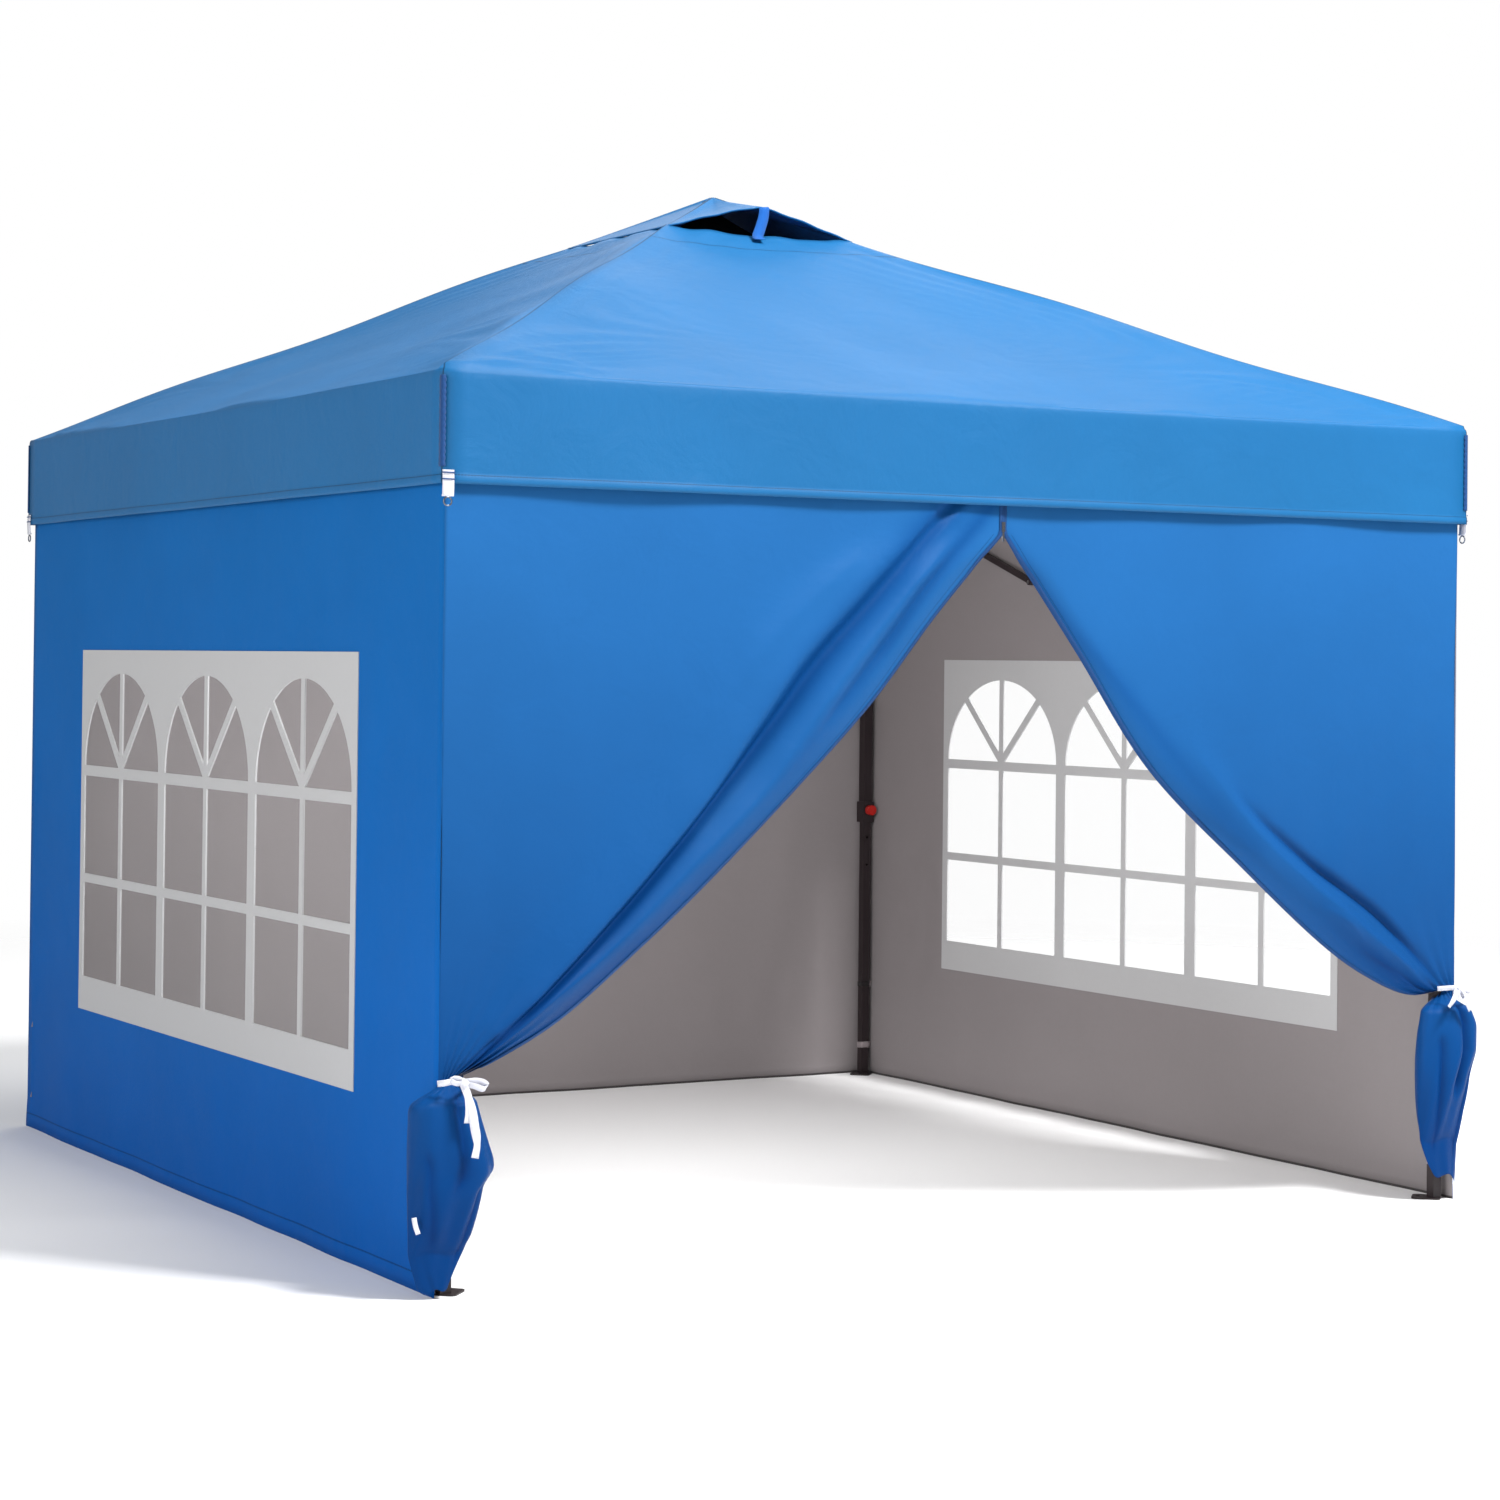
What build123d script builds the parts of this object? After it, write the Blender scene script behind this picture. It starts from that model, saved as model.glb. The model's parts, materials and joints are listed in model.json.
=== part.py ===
from build123d import *
import os
from math import sin, cos, radians, degrees, acos, sqrt, pi

os.makedirs("parts", exist_ok=True)

# ---------------------------------------------------------------- driving dimensions, mm
HALF = 1500.0          # half the side of the roof at the eave
LEG = 1450.0           # leg axes are this far from the middle, in X and in Y
Z_EAVE = 2060.0        # top edge of the valance
RISE = 675.0           # from the eave to the point where the four slopes would meet
VALANCE = 255.0        # height of the valance
CLOTH = 0.8            # thickness of coated cloth
VINYL = 0.5            # thickness of a clear window
BAR_L = 980.0          # between the end pivots of a side truss bar
BAR_H, BAR_T, BAR_WALL = 20.0, 10.0, 0.8   # section of every truss bar
GAP = 1.2              # between the two bars of a pair
LEG_PIVOT = 60.0       # from a leg axis to a side bar's pivot
DIAG_PIVOT = 45.0      # from a leg axis to a roof arm's pivot on the slider
SPAN = 2 * LEG - 2 * LEG_PIVOT      # three bars' width
PITCH = SPAN / 3
THETA = degrees(acos(PITCH / BAR_L))   # each bar's tilt when open
RISE_BAR = BAR_L * sin(radians(THETA))
Z_TOP = 2000.0         # upper pivots
Z_SLIDE = Z_TOP - RISE_BAR             # lower pivots, slider and hub
ARM_L = 3 * BAR_L / (2 * sqrt(2))      # between the pivots of a roof arm
HUB_PIVOT = LEG_PIVOT * sqrt(2) - DIAG_PIVOT
PIN_R, HOLE_R, HEAD_R, HEAD_T = 3.0, 3.05, 6.0, 1.5
EAR_T, EAR_R, EAR_GAP = 3.0, 12.0, 0.3
UP_SEC, UP_WALL = 32.0, 1.0            # upper leg tube
LO_SEC, LO_WALL = 27.0, 1.0            # lower leg tube
UP_Z0, UP_Z1 = 880.0, 2030.0
LO_Z0, LO_Z1 = 4.0, 1130.0
Z_KNOB = 910.0
HOLES_Z = (1005.0, 910.0, 815.0, 720.0)
WALL = 1482.0          # outer face of the wall cloth
WALL_Z0, WALL_Z1 = 8.0, 1990.0
WIN_Y, WIN_Z0, WIN_Z1 = 1010.0, 400.0, 1430.0
CAP, CAP_MID, CAP_PEAK = 298.0, 2679.0, 2738.0
HOLE = 240.0           # half of the square vent hole
FOLD_MARGIN = 0.1

A_LO, A_HI = -(GAP / 2 + BAR_T), -GAP / 2      # bars leaning back, inner plane
B_LO, B_HI = GAP / 2, GAP / 2 + BAR_T          # bars leaning forward, outer plane


def box(x0, x1, y0, y1, z0, z1):
    return Pos((x0 + x1) / 2, (y0 + y1) / 2, (z0 + z1) / 2) * Box(x1 - x0, y1 - y0, z1 - z0)


def solids(*shapes):
    out = []
    for s in shapes:
        if isinstance(s, (list, tuple)):
            out += solids(*s)
        else:
            out += list(s.solids())
    return out


def save(name, *shapes):
    found = solids(*shapes)
    group = Compound(label=name, children=found) if len(found) > 1 else found[0]
    group.label = name
    export_step(group, f"parts/{name}.step")


def turn(k, shape):
    return Rot(0, 0, 90 * k) * shape


# A side's frame: u along the side from its first leg, v outward, z up. Side 0 is the front.
def pin_v(u, z, v0, v1, r):
    """A round bar across a side, from v0 to v1."""
    return Pos(u, -(v0 + v1) / 2, z) * Rot(90, 0, 0) * Cylinder(r, v1 - v0)


def rivet(u, z, v0, v1):
    """A rivet whose shank reaches over both faces and whose heads lie outside them."""
    return pin_v(u, z, v0, v1, PIN_R) + pin_v(u, z, v0 - HEAD_T, v0, HEAD_R) + pin_v(u, z, v1, v1 + HEAD_T, HEAD_R)


def bar(length, holes, v0, v1):
    """A straight hollow bar along +u from its first pivot."""
    y0, y1 = -v1, -v0
    body = box(0, length, y0, y1, -BAR_H / 2, BAR_H / 2)
    for u in (0, length):
        body += pin_v(u, 0, v0, v1, BAR_H / 2)
    body -= box(-BAR_H, length + BAR_H, y0 + BAR_WALL, y1 - BAR_WALL, -BAR_H / 2 + BAR_WALL, BAR_H / 2 - BAR_WALL)
    for u in holes:
        body -= pin_v(u, 0, v0 - 1, v1 + 1, HOLE_R)
    return body


def placed_bar(b, u, z, tilt):
    """tilt is upward, in degrees."""
    return Pos(u, 0, z) * Rot(0, -tilt, 0) * b


def ears(u_root, u_pivot, z, v0, v1):
    """Two cheeks that hug a bar lying between v0 and v1."""
    out = None
    for a, b in ((v0 - EAR_GAP - EAR_T, v0 - EAR_GAP), (v1 + EAR_GAP, v1 + EAR_GAP + EAR_T)):
        lo, hi = sorted((u_root, u_pivot))
        e = box(lo, hi, -b, -a, z - EAR_R, z + EAR_R) + pin_v(u_pivot, z, a, b, EAR_R)
        e -= pin_v(u_pivot, z, a - 1, b + 1, HOLE_R)
        out = e if out is None else out + e
    return out


def ear_pin(u, z, v0, v1):
    return rivet(u, z, v0 - EAR_GAP - EAR_T, v1 + EAR_GAP + EAR_T)


def at_leg(shape):
    """From a frame on a leg axis to the front left leg."""
    return Pos(-LEG, -LEG, 0) * shape


def as_end(shape):
    """From the frame on a leg axis where the side leaves along +u, to where the previous side arrives."""
    return Rot(0, 0, 270) * mirror_u(shape)


def mirror_u(shape):
    return shape.mirror(Plane.YZ)


def diag(shape):
    return Rot(0, 0, 45) * shape


LEGS = ("front_left", "front_right", "back_right", "back_left")
SIDES = ("front", "right", "back", "left")

# ---------------------------------------------------------------- side trusses
bar_a = bar(BAR_L, (0, BAR_L / 2, BAR_L), A_LO, A_HI)
bar_b = bar(BAR_L, (0, BAR_L / 2, BAR_L), B_LO, B_HI)
Z_MID = (Z_TOP + Z_SLIDE) / 2
for k, side in enumerate(SIDES):
    for n in (1, 2, 3):
        u0 = LEG_PIVOT + (n - 1) * PITCH
        a = placed_bar(bar_a, u0, Z_TOP, -THETA)
        pins = [rivet(u0 + PITCH / 2, Z_MID, A_LO, B_HI + FOLD_MARGIN)]
        if n > 1:
            pins.append(rivet(u0, Z_TOP, A_LO, B_HI + FOLD_MARGIN))
        if n < 3:
            pins.append(rivet(u0 + PITCH, Z_SLIDE, A_LO, B_HI + FOLD_MARGIN))
        save(f"{side}_truss_bar_{n}a", *[turn(k, at_leg(s)) for s in [a] + pins])
        save(f"{side}_truss_bar_{n}b", turn(k, at_leg(placed_bar(bar_b, u0, Z_SLIDE, THETA))))

# ---------------------------------------------------------------- legs, sliders and height knobs
B_OUT = 38.0           # top bracket
C_OUT, C_Z0, C_Z1 = 42.0, 868.0, 938.0   # collar at the foot of the upper tube
S_OUT, S_BORE, S_H = 42.0, UP_SEC + 0.2, 90.0

bracket = box(-B_OUT / 2, B_OUT / 2, -B_OUT / 2, B_OUT / 2, Z_TOP - 38, UP_Z1 + 4)
bracket = bracket + ears(12, LEG_PIVOT, Z_TOP, A_LO, A_HI)
bracket = bracket + as_end(ears(12, LEG_PIVOT, Z_TOP, B_LO, B_HI))
bracket = bracket - box(-UP_SEC / 2, UP_SEC / 2, -UP_SEC / 2, UP_SEC / 2, Z_TOP - 60, UP_Z1)
top_pins = [ear_pin(LEG_PIVOT, Z_TOP, A_LO, A_HI), as_end(ear_pin(LEG_PIVOT, Z_TOP, B_LO, B_HI))]

up_tube = box(-UP_SEC / 2, UP_SEC / 2, -UP_SEC / 2, UP_SEC / 2, UP_Z0, UP_Z1)
up_in = UP_SEC / 2 - UP_WALL
up_tube = up_tube - box(-up_in, up_in, -up_in, up_in, UP_Z0 - 5, UP_Z1 + 5)
KNOB_STEM = 4.0
stem_hole = Pos(0, 30, Z_KNOB) * Rot(90, 0, 0) * Cylinder(KNOB_STEM + 0.05, 40)   # from y 10 to y 50
up_tube = up_tube - stem_hole
collar = box(-C_OUT / 2, C_OUT / 2, -C_OUT / 2, C_OUT / 2, C_Z0, C_Z1)
collar = collar + Pos(0, 21, Z_KNOB) * Rot(90, 0, 0) * Cylinder(11, 10)          # boss round the knob's stem
collar = collar - box(-UP_SEC / 2, UP_SEC / 2, -UP_SEC / 2, UP_SEC / 2, UP_Z0, C_Z1 + 5)
lo_run = LO_SEC / 2 + 0.1
collar = collar - box(-lo_run, lo_run, -lo_run, lo_run, C_Z0 - 5, UP_Z0 + 5)
collar = collar - stem_hole

slider = box(-S_OUT / 2, S_OUT / 2, -S_OUT / 2, S_OUT / 2, Z_SLIDE - S_H / 2, Z_SLIDE + S_H / 2)
slider = slider + ears(12, LEG_PIVOT, Z_SLIDE, B_LO, B_HI)
slider = slider + as_end(ears(12, LEG_PIVOT, Z_SLIDE, A_LO, A_HI))
slider = slider + diag(ears(12, DIAG_PIVOT, Z_SLIDE, A_LO, A_HI))
slider = slider - box(-S_BORE / 2, S_BORE / 2, -S_BORE / 2, S_BORE / 2, Z_SLIDE - 60, Z_SLIDE + 60)
slider_pins = [
    ear_pin(LEG_PIVOT, Z_SLIDE, B_LO, B_HI),
    as_end(ear_pin(LEG_PIVOT, Z_SLIDE, A_LO, A_HI)),
    diag(ear_pin(DIAG_PIVOT, Z_SLIDE, A_LO, A_HI)),
]

knob = Pos(0, (13.6 + 27) / 2, Z_KNOB) * Rot(90, 0, 0) * Cylinder(KNOB_STEM, 27 - 13.6)
knob = knob + Pos(0, 36, Z_KNOB) * Rot(90, 0, 0) * Cylinder(17, 19)

lo_tube = box(-LO_SEC / 2, LO_SEC / 2, -LO_SEC / 2, LO_SEC / 2, LO_Z0, LO_Z1)
lo_in = LO_SEC / 2 - LO_WALL
lo_tube = lo_tube - box(-lo_in, lo_in, -lo_in, lo_in, LO_Z0 - 5, LO_Z1 + 5)
for z in HOLES_Z:
    lo_tube = lo_tube - Pos(0, 14, z) * Rot(90, 0, 0) * Cylinder(KNOB_STEM + 0.1, 8)
glide = box(-14.8, 14.8, -14.8, 14.8, LO_Z1 - 40, LO_Z1)
glide = glide - box(-LO_SEC / 2, LO_SEC / 2, -LO_SEC / 2, LO_SEC / 2, LO_Z1 - 50, LO_Z1 + 5)
STAKE_AT, STAKE_R, FOOT_T = 42.0, 6.0, 4.0
foot = box(-18, 58, -34, 34, 0, FOOT_T)
foot = fillet(foot.edges().filter_by(Axis.Z), 14)
foot = foot - Pos(STAKE_AT, 0, FOOT_T / 2) * Cylinder(STAKE_R, FOOT_T + 2)
foot = diag(foot)

for k, leg in enumerate(LEGS):
    save(f"{leg}_upper_leg", *[turn(k, at_leg(s)) for s in [up_tube, bracket, collar] + top_pins])
    save(f"{leg}_slider", *[turn(k, at_leg(s)) for s in [slider] + slider_pins])
    save(f"{leg}_lower_leg", *[turn(k, at_leg(s)) for s in (lo_tube, glide, foot)])
    save(f"{leg}_height_knob", turn(k, at_leg(knob)))

# ---------------------------------------------------------------- roof arms, hub and pole
DIAG = LEG * sqrt(2)
arm_out = bar(ARM_L, (0, ARM_L), A_LO, A_HI)
arm_in = bar(ARM_L, (0, ARM_L), B_LO, B_HI)
U_ELBOW = DIAG_PIVOT + ARM_L * cos(radians(THETA))
Z_ELBOW = Z_SLIDE + ARM_L * sin(radians(THETA))
for k, leg in enumerate(LEGS):
    outer = placed_bar(arm_out, DIAG_PIVOT, Z_SLIDE, THETA)
    elbow = rivet(U_ELBOW, Z_ELBOW, A_LO, B_HI + FOLD_MARGIN)
    save(f"{leg}_outer_roof_arm", *[turn(k, at_leg(diag(s))) for s in (outer, elbow)])
    save(f"{leg}_inner_roof_arm", turn(k, at_leg(diag(placed_bar(arm_in, U_ELBOW, Z_ELBOW, -THETA)))))

hub = Pos(0, 0, Z_SLIDE) * Cylinder(28, 60)
hub = hub + Pos(0, 0, Z_SLIDE + 40) * Cylinder(18, 20)
hub_pins = []
for k in range(4):
    hub = hub + turn(k, at_leg(diag(ears(DIAG - 12, DIAG - HUB_PIVOT, Z_SLIDE, B_LO, B_HI))))
    hub_pins.append(turn(k, at_leg(diag(ear_pin(DIAG - HUB_PIVOT, Z_SLIDE, B_LO, B_HI)))))
POLE_R, POLE_Z1 = 12.5, 2702.0
pole = Pos(0, 0, (Z_SLIDE + 50 + POLE_Z1) / 2) * Cylinder(POLE_R, POLE_Z1 - Z_SLIDE - 50)
pole = pole - Pos(0, 0, (Z_SLIDE + 50 + POLE_Z1) / 2) * Cylinder(POLE_R - 1.0, POLE_Z1 - Z_SLIDE)
pole_cap = Pos(0, 0, POLE_Z1 + 13) * Cylinder(20, 26)
pole_cap = fillet(pole_cap.edges().group_by(Axis.Z)[-1], 9)
save("center_hub", hub, hub_pins, pole, pole_cap)


# ---------------------------------------------------------------- cloth
def sheet(points, direction, thick):
    """A flat sheet with these corners, thick along direction."""
    face = Face(Wire.make_polygon([Vector(*p) for p in points], close=True))
    return extrude(face, amount=thick, dir=direction)


def slope_z(d):
    return Z_EAVE + RISE * (1 - d / HALF)


slopes, valances = [], []
for k in range(4):
    s = sheet([(-HALF, -HALF, Z_EAVE), (HALF, -HALF, Z_EAVE), (HOLE, -HOLE, slope_z(HOLE)), (-HOLE, -HOLE, slope_z(HOLE))], (0, 0, -1), CLOTH)
    slopes.append(turn(k, s))
Z_VAL1 = Z_EAVE - CLOTH
valances.append(box(-HALF, HALF, -HALF, -HALF + CLOTH, Z_EAVE - VALANCE, Z_VAL1))
valances.append(box(-HALF, HALF, HALF - CLOTH, HALF, Z_EAVE - VALANCE, Z_VAL1))
valances.append(box(-HALF, -HALF + CLOTH, -HALF + CLOTH, HALF - CLOTH, Z_EAVE - VALANCE, Z_VAL1))
valances.append(box(HALF - CLOTH, HALF, -HALF + CLOTH, HALF - CLOTH, Z_EAVE - VALANCE, Z_VAL1))
save("roof_cover", slopes, valances)

# The vent cap: its front and back edges are lifted in the middle, where a short strap ties each to the slope below.
Z_CAP = slope_z(CAP) + CLOTH + 0.4
cap = []
for k in range(4):
    mid = CAP_MID if k % 2 == 0 else Z_CAP
    for side in (-1, 1):
        cap.append(turn(k, sheet([(0, 0, CAP_PEAK), (0, -CAP, mid), (side * CAP, -CAP, Z_CAP)], (0, 0, -1), CLOTH)))
    if k % 2 == 0:
        cap.append(turn(k, box(-9, 9, -CAP + 1, -CAP + 1.8, slope_z(CAP - 1.8) + 0.3, CAP_MID - 0.6)))
save("vent_cap", cap)

# Walls: cloth strips round each window, sewn edge to edge.
back = box(-WALL, WALL, WALL - CLOTH, WALL, WALL_Z0, WALL_Z1)
save("back_wall", back)
IN = WALL - CLOTH
for name, s in (("left_wall", -1), ("right_wall", 1)):
    x0, x1 = sorted((s * IN, s * WALL))
    save(
        name,
        box(x0, x1, -IN + 0.4, IN - 0.4, WIN_Z1, WALL_Z1),
        box(x0, x1, -IN + 0.4, IN - 0.4, WALL_Z0, WIN_Z0),
        box(x0, x1, -IN + 0.4, -WIN_Y, WIN_Z0, WIN_Z1),
        box(x0, x1, WIN_Y, IN - 0.4, WIN_Z0, WIN_Z1),
    )
panes, frames = [], []
ARCH_Z0, ARCH_H, BAY, MULL, EDGE = 1100.0, 265.0, 620.0, 50.0, 30.0
BAR_W = 24.0
for s in (-1, 1):
    x0, x1 = sorted((s * (WALL - VINYL), s * WALL))
    panes.append(box(x0, x1, -WIN_Y, WIN_Y, WIN_Z0, WIN_Z1))
    x0, x1 = sorted((s * WALL, s * (WALL + 1.0)))
    frame = box(x0, x1, -WIN_Y, WIN_Y, WIN_Z0, WIN_Z1)
    for n in (-1, 0, 1):
        yc = n * (BAY + MULL)
        arch = Pos(s * WALL, yc, ARCH_Z0) * Rot(0, 90, 0) * extrude(Ellipse(ARCH_H, BAY / 2), amount=6, both=True)
        arch = arch & box(-3000, 3000, yc - BAY, yc + BAY, ARCH_Z0, ARCH_Z0 + ARCH_H + 5)
        keep = box(x0, x1, yc - BAR_W / 2, yc + BAR_W / 2, ARCH_Z0, ARCH_Z0 + ARCH_H)
        for lean in (-1, 1):
            keep = keep + Pos((x0 + x1) / 2, yc, ARCH_Z0) * Rot(lean * 46, 0, 0) * Pos(0, 0, 150) * Box(1.0, BAR_W, 300)
        frame = frame - (arch - keep)
        for c in (-1, 1):
            y0, y1 = sorted((yc + c * BAR_W / 2, yc + c * BAY / 2))
            for z0, z1 in ((790.0, 1070.0), (495.0, 765.0)):
                frame = frame - box(min(x0, x1) - 5, max(x0, x1) + 5, y0, y1, z0, z1)
    frames.append(frame)
save("window_panes", panes)
save("window_frames", frames)

# Front wall: two flaps tied back, each with its lower part gathered in pleats under the tie.
LEFT_EDGE = [(12, 1739), (-367, 1316), (-826, 886), (-1185, 602), (-1426, 485)]
RIGHT_EDGE = [(12, 1739), (467, 1155), (1056, 680), (1400, 565), (1426, 560)]
left_flap = [(-WALL, WALL_Z1), (12, WALL_Z1)] + LEFT_EDGE + [(-WALL, 485)]
right_flap = [(WALL, WALL_Z1), (12, WALL_Z1)] + RIGHT_EDGE + [(WALL, 560)]
front = [sheet([(x, -WALL, z) for x, z in pts], (0, 1, 0), CLOTH) for pts in (left_flap, right_flap)]


def pleats(x0, x1, n, z0, z1, y0, y1):
    """Upright sheets in a zigzag, edge to edge, just outside the flap's plane."""
    out, step = [], (x1 - x0) / n
    for i in range(n):
        a, b = (y0, y1) if i % 2 == 0 else (y1, y0)
        xa, xb = x0 + i * step, x0 + (i + 1) * step
        out.append(sheet([(xa, a, z0), (xb, b, z0), (xb, b, z1), (xa, a, z1)], (0, 1, 0), CLOTH))
    return out


front += pleats(-1499, -1371, 4, 20, 455, -1499, -1486)
front += pleats(1371, 1499, 4, 20, 530, -1499, -1486)
save("front_wall", front)

# Corner straps: webbing over the lower corner of the valance, with a ring hanging from each.
strap = box(-HALF + 1, -HALF + 29, -HALF - 1.6, -HALF, 1777, 1834)
ring = Pos(-HALF + 15, -HALF - 0.8, 1765) * Rot(90, 0, 0) * Torus(9.6, 1.8)
slide = box(7, 17, -1488, -WALL - 0.1, 1742, 1766) + box(9, 15, -1487, -1485.4, 1718, 1743)
save("corner_straps", [turn(k, strap) for k in range(4)])
save("metal_trim", [turn(k, ring) for k in range(4)], slide)

# Ties: a band round each gathered flap and its leg, and two bands round each leg that hold the walls to it.
ties = []
for s, z in ((-1, 470.0), (1, 545.0)):
    xs = sorted((s * 1480, s * 1425))
    band = box(xs[0], xs[1], -1490, -1430, z - 9, z + 9) - box(xs[0] + CLOTH, xs[1] - CLOTH, -1490 + CLOTH, -1430 - CLOTH, z - 12, z + 12)
    xt = s * 1440
    ties += [
        band,
        box(xt - 9, xt + 9, -1491.2, -1490.4, z + 9.5 - 9, z + 9.5 + 20),
    ]
leg_band = box(-14.8, 14.8, -14.8, 14.8, -9, 9) - box(-14.0, 14.0, -14.0, 14.0, -12, 12)
for k in range(4):
    for z in (100.0, 310.0):
        ties.append(turn(k, at_leg(Pos(0, 0, z) * leg_band)))
save("wall_ties", ties)
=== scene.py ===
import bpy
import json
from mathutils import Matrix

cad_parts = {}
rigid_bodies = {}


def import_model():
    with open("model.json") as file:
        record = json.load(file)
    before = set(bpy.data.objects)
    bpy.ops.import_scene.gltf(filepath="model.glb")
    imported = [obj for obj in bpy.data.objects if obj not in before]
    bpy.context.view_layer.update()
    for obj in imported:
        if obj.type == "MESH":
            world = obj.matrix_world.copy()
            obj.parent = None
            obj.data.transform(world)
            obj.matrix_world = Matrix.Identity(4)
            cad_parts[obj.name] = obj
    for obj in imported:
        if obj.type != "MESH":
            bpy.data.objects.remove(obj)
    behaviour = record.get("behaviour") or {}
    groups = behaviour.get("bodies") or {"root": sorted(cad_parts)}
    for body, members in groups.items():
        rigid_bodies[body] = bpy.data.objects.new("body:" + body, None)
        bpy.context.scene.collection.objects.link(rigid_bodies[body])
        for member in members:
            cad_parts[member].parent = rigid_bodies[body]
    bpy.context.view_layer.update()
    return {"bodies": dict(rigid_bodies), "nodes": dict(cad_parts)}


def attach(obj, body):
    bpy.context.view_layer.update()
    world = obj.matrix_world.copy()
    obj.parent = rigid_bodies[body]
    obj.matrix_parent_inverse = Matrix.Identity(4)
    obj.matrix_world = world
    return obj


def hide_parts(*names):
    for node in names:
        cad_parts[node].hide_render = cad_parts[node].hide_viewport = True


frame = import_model()
import json
import math

import bpy
import numpy as np
from mathutils import Matrix, Vector

RNG = np.random.default_rng(7)
LEG, HALF, EAVE, RISE, VAL = 1.45, 1.5, 2.06, 0.675, 0.255
WALL = 1.484
ROOT = "front_left_upper_leg"
LEGS = ("front_left", "front_right", "back_right", "back_left")


def lerp(a, b, t):
    return a + (b - a) * t


def smooth(t):
    t = np.clip(t, 0, 1)
    return t * t * (3 - 2 * t)


def srgb(r, g, b):
    f = lambda c: (c / 255) / 12.92 if c <= 10 else (((c / 255) + 0.055) / 1.055) ** 2.4
    return (f(r), f(g), f(b), 1.0)


# ---------------------------------------------------------------- materials
def new_mat(name):
    m = bpy.data.materials.new(name)
    m.use_nodes = True
    nt = m.node_tree
    nt.nodes.clear()
    out = nt.nodes.new("ShaderNodeOutputMaterial")
    p = nt.nodes.new("ShaderNodeBsdfPrincipled")
    nt.links.new(p.outputs[0], out.inputs[0])
    return m, nt, p


def node(nt, kind, **inputs):
    n = nt.nodes.new(kind)
    for k, v in inputs.items():
        n.inputs[k].default_value = v
    return n


def math_node(nt, op, a, b=None, clamp=False):
    n = nt.nodes.new("ShaderNodeMath")
    n.operation = op
    n.use_clamp = clamp
    for i, v in enumerate((a, b)):
        if v is None:
            continue
        if isinstance(v, (int, float)):
            n.inputs[i].default_value = v
        else:
            nt.links.new(v, n.inputs[i])
    return n.outputs[0]


def mix_col(nt, fac, a, b, mode="MIX"):
    n = nt.nodes.new("ShaderNodeMix")
    n.data_type = "RGBA"
    n.blend_type = mode
    for s, v in ((n.inputs[0], fac), (n.inputs[6], a), (n.inputs[7], b)):
        if isinstance(v, (int, float)):
            s.default_value = v
        elif isinstance(v, tuple):
            s.default_value = v
        else:
            nt.links.new(v, s)
    return n.outputs[2]


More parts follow.
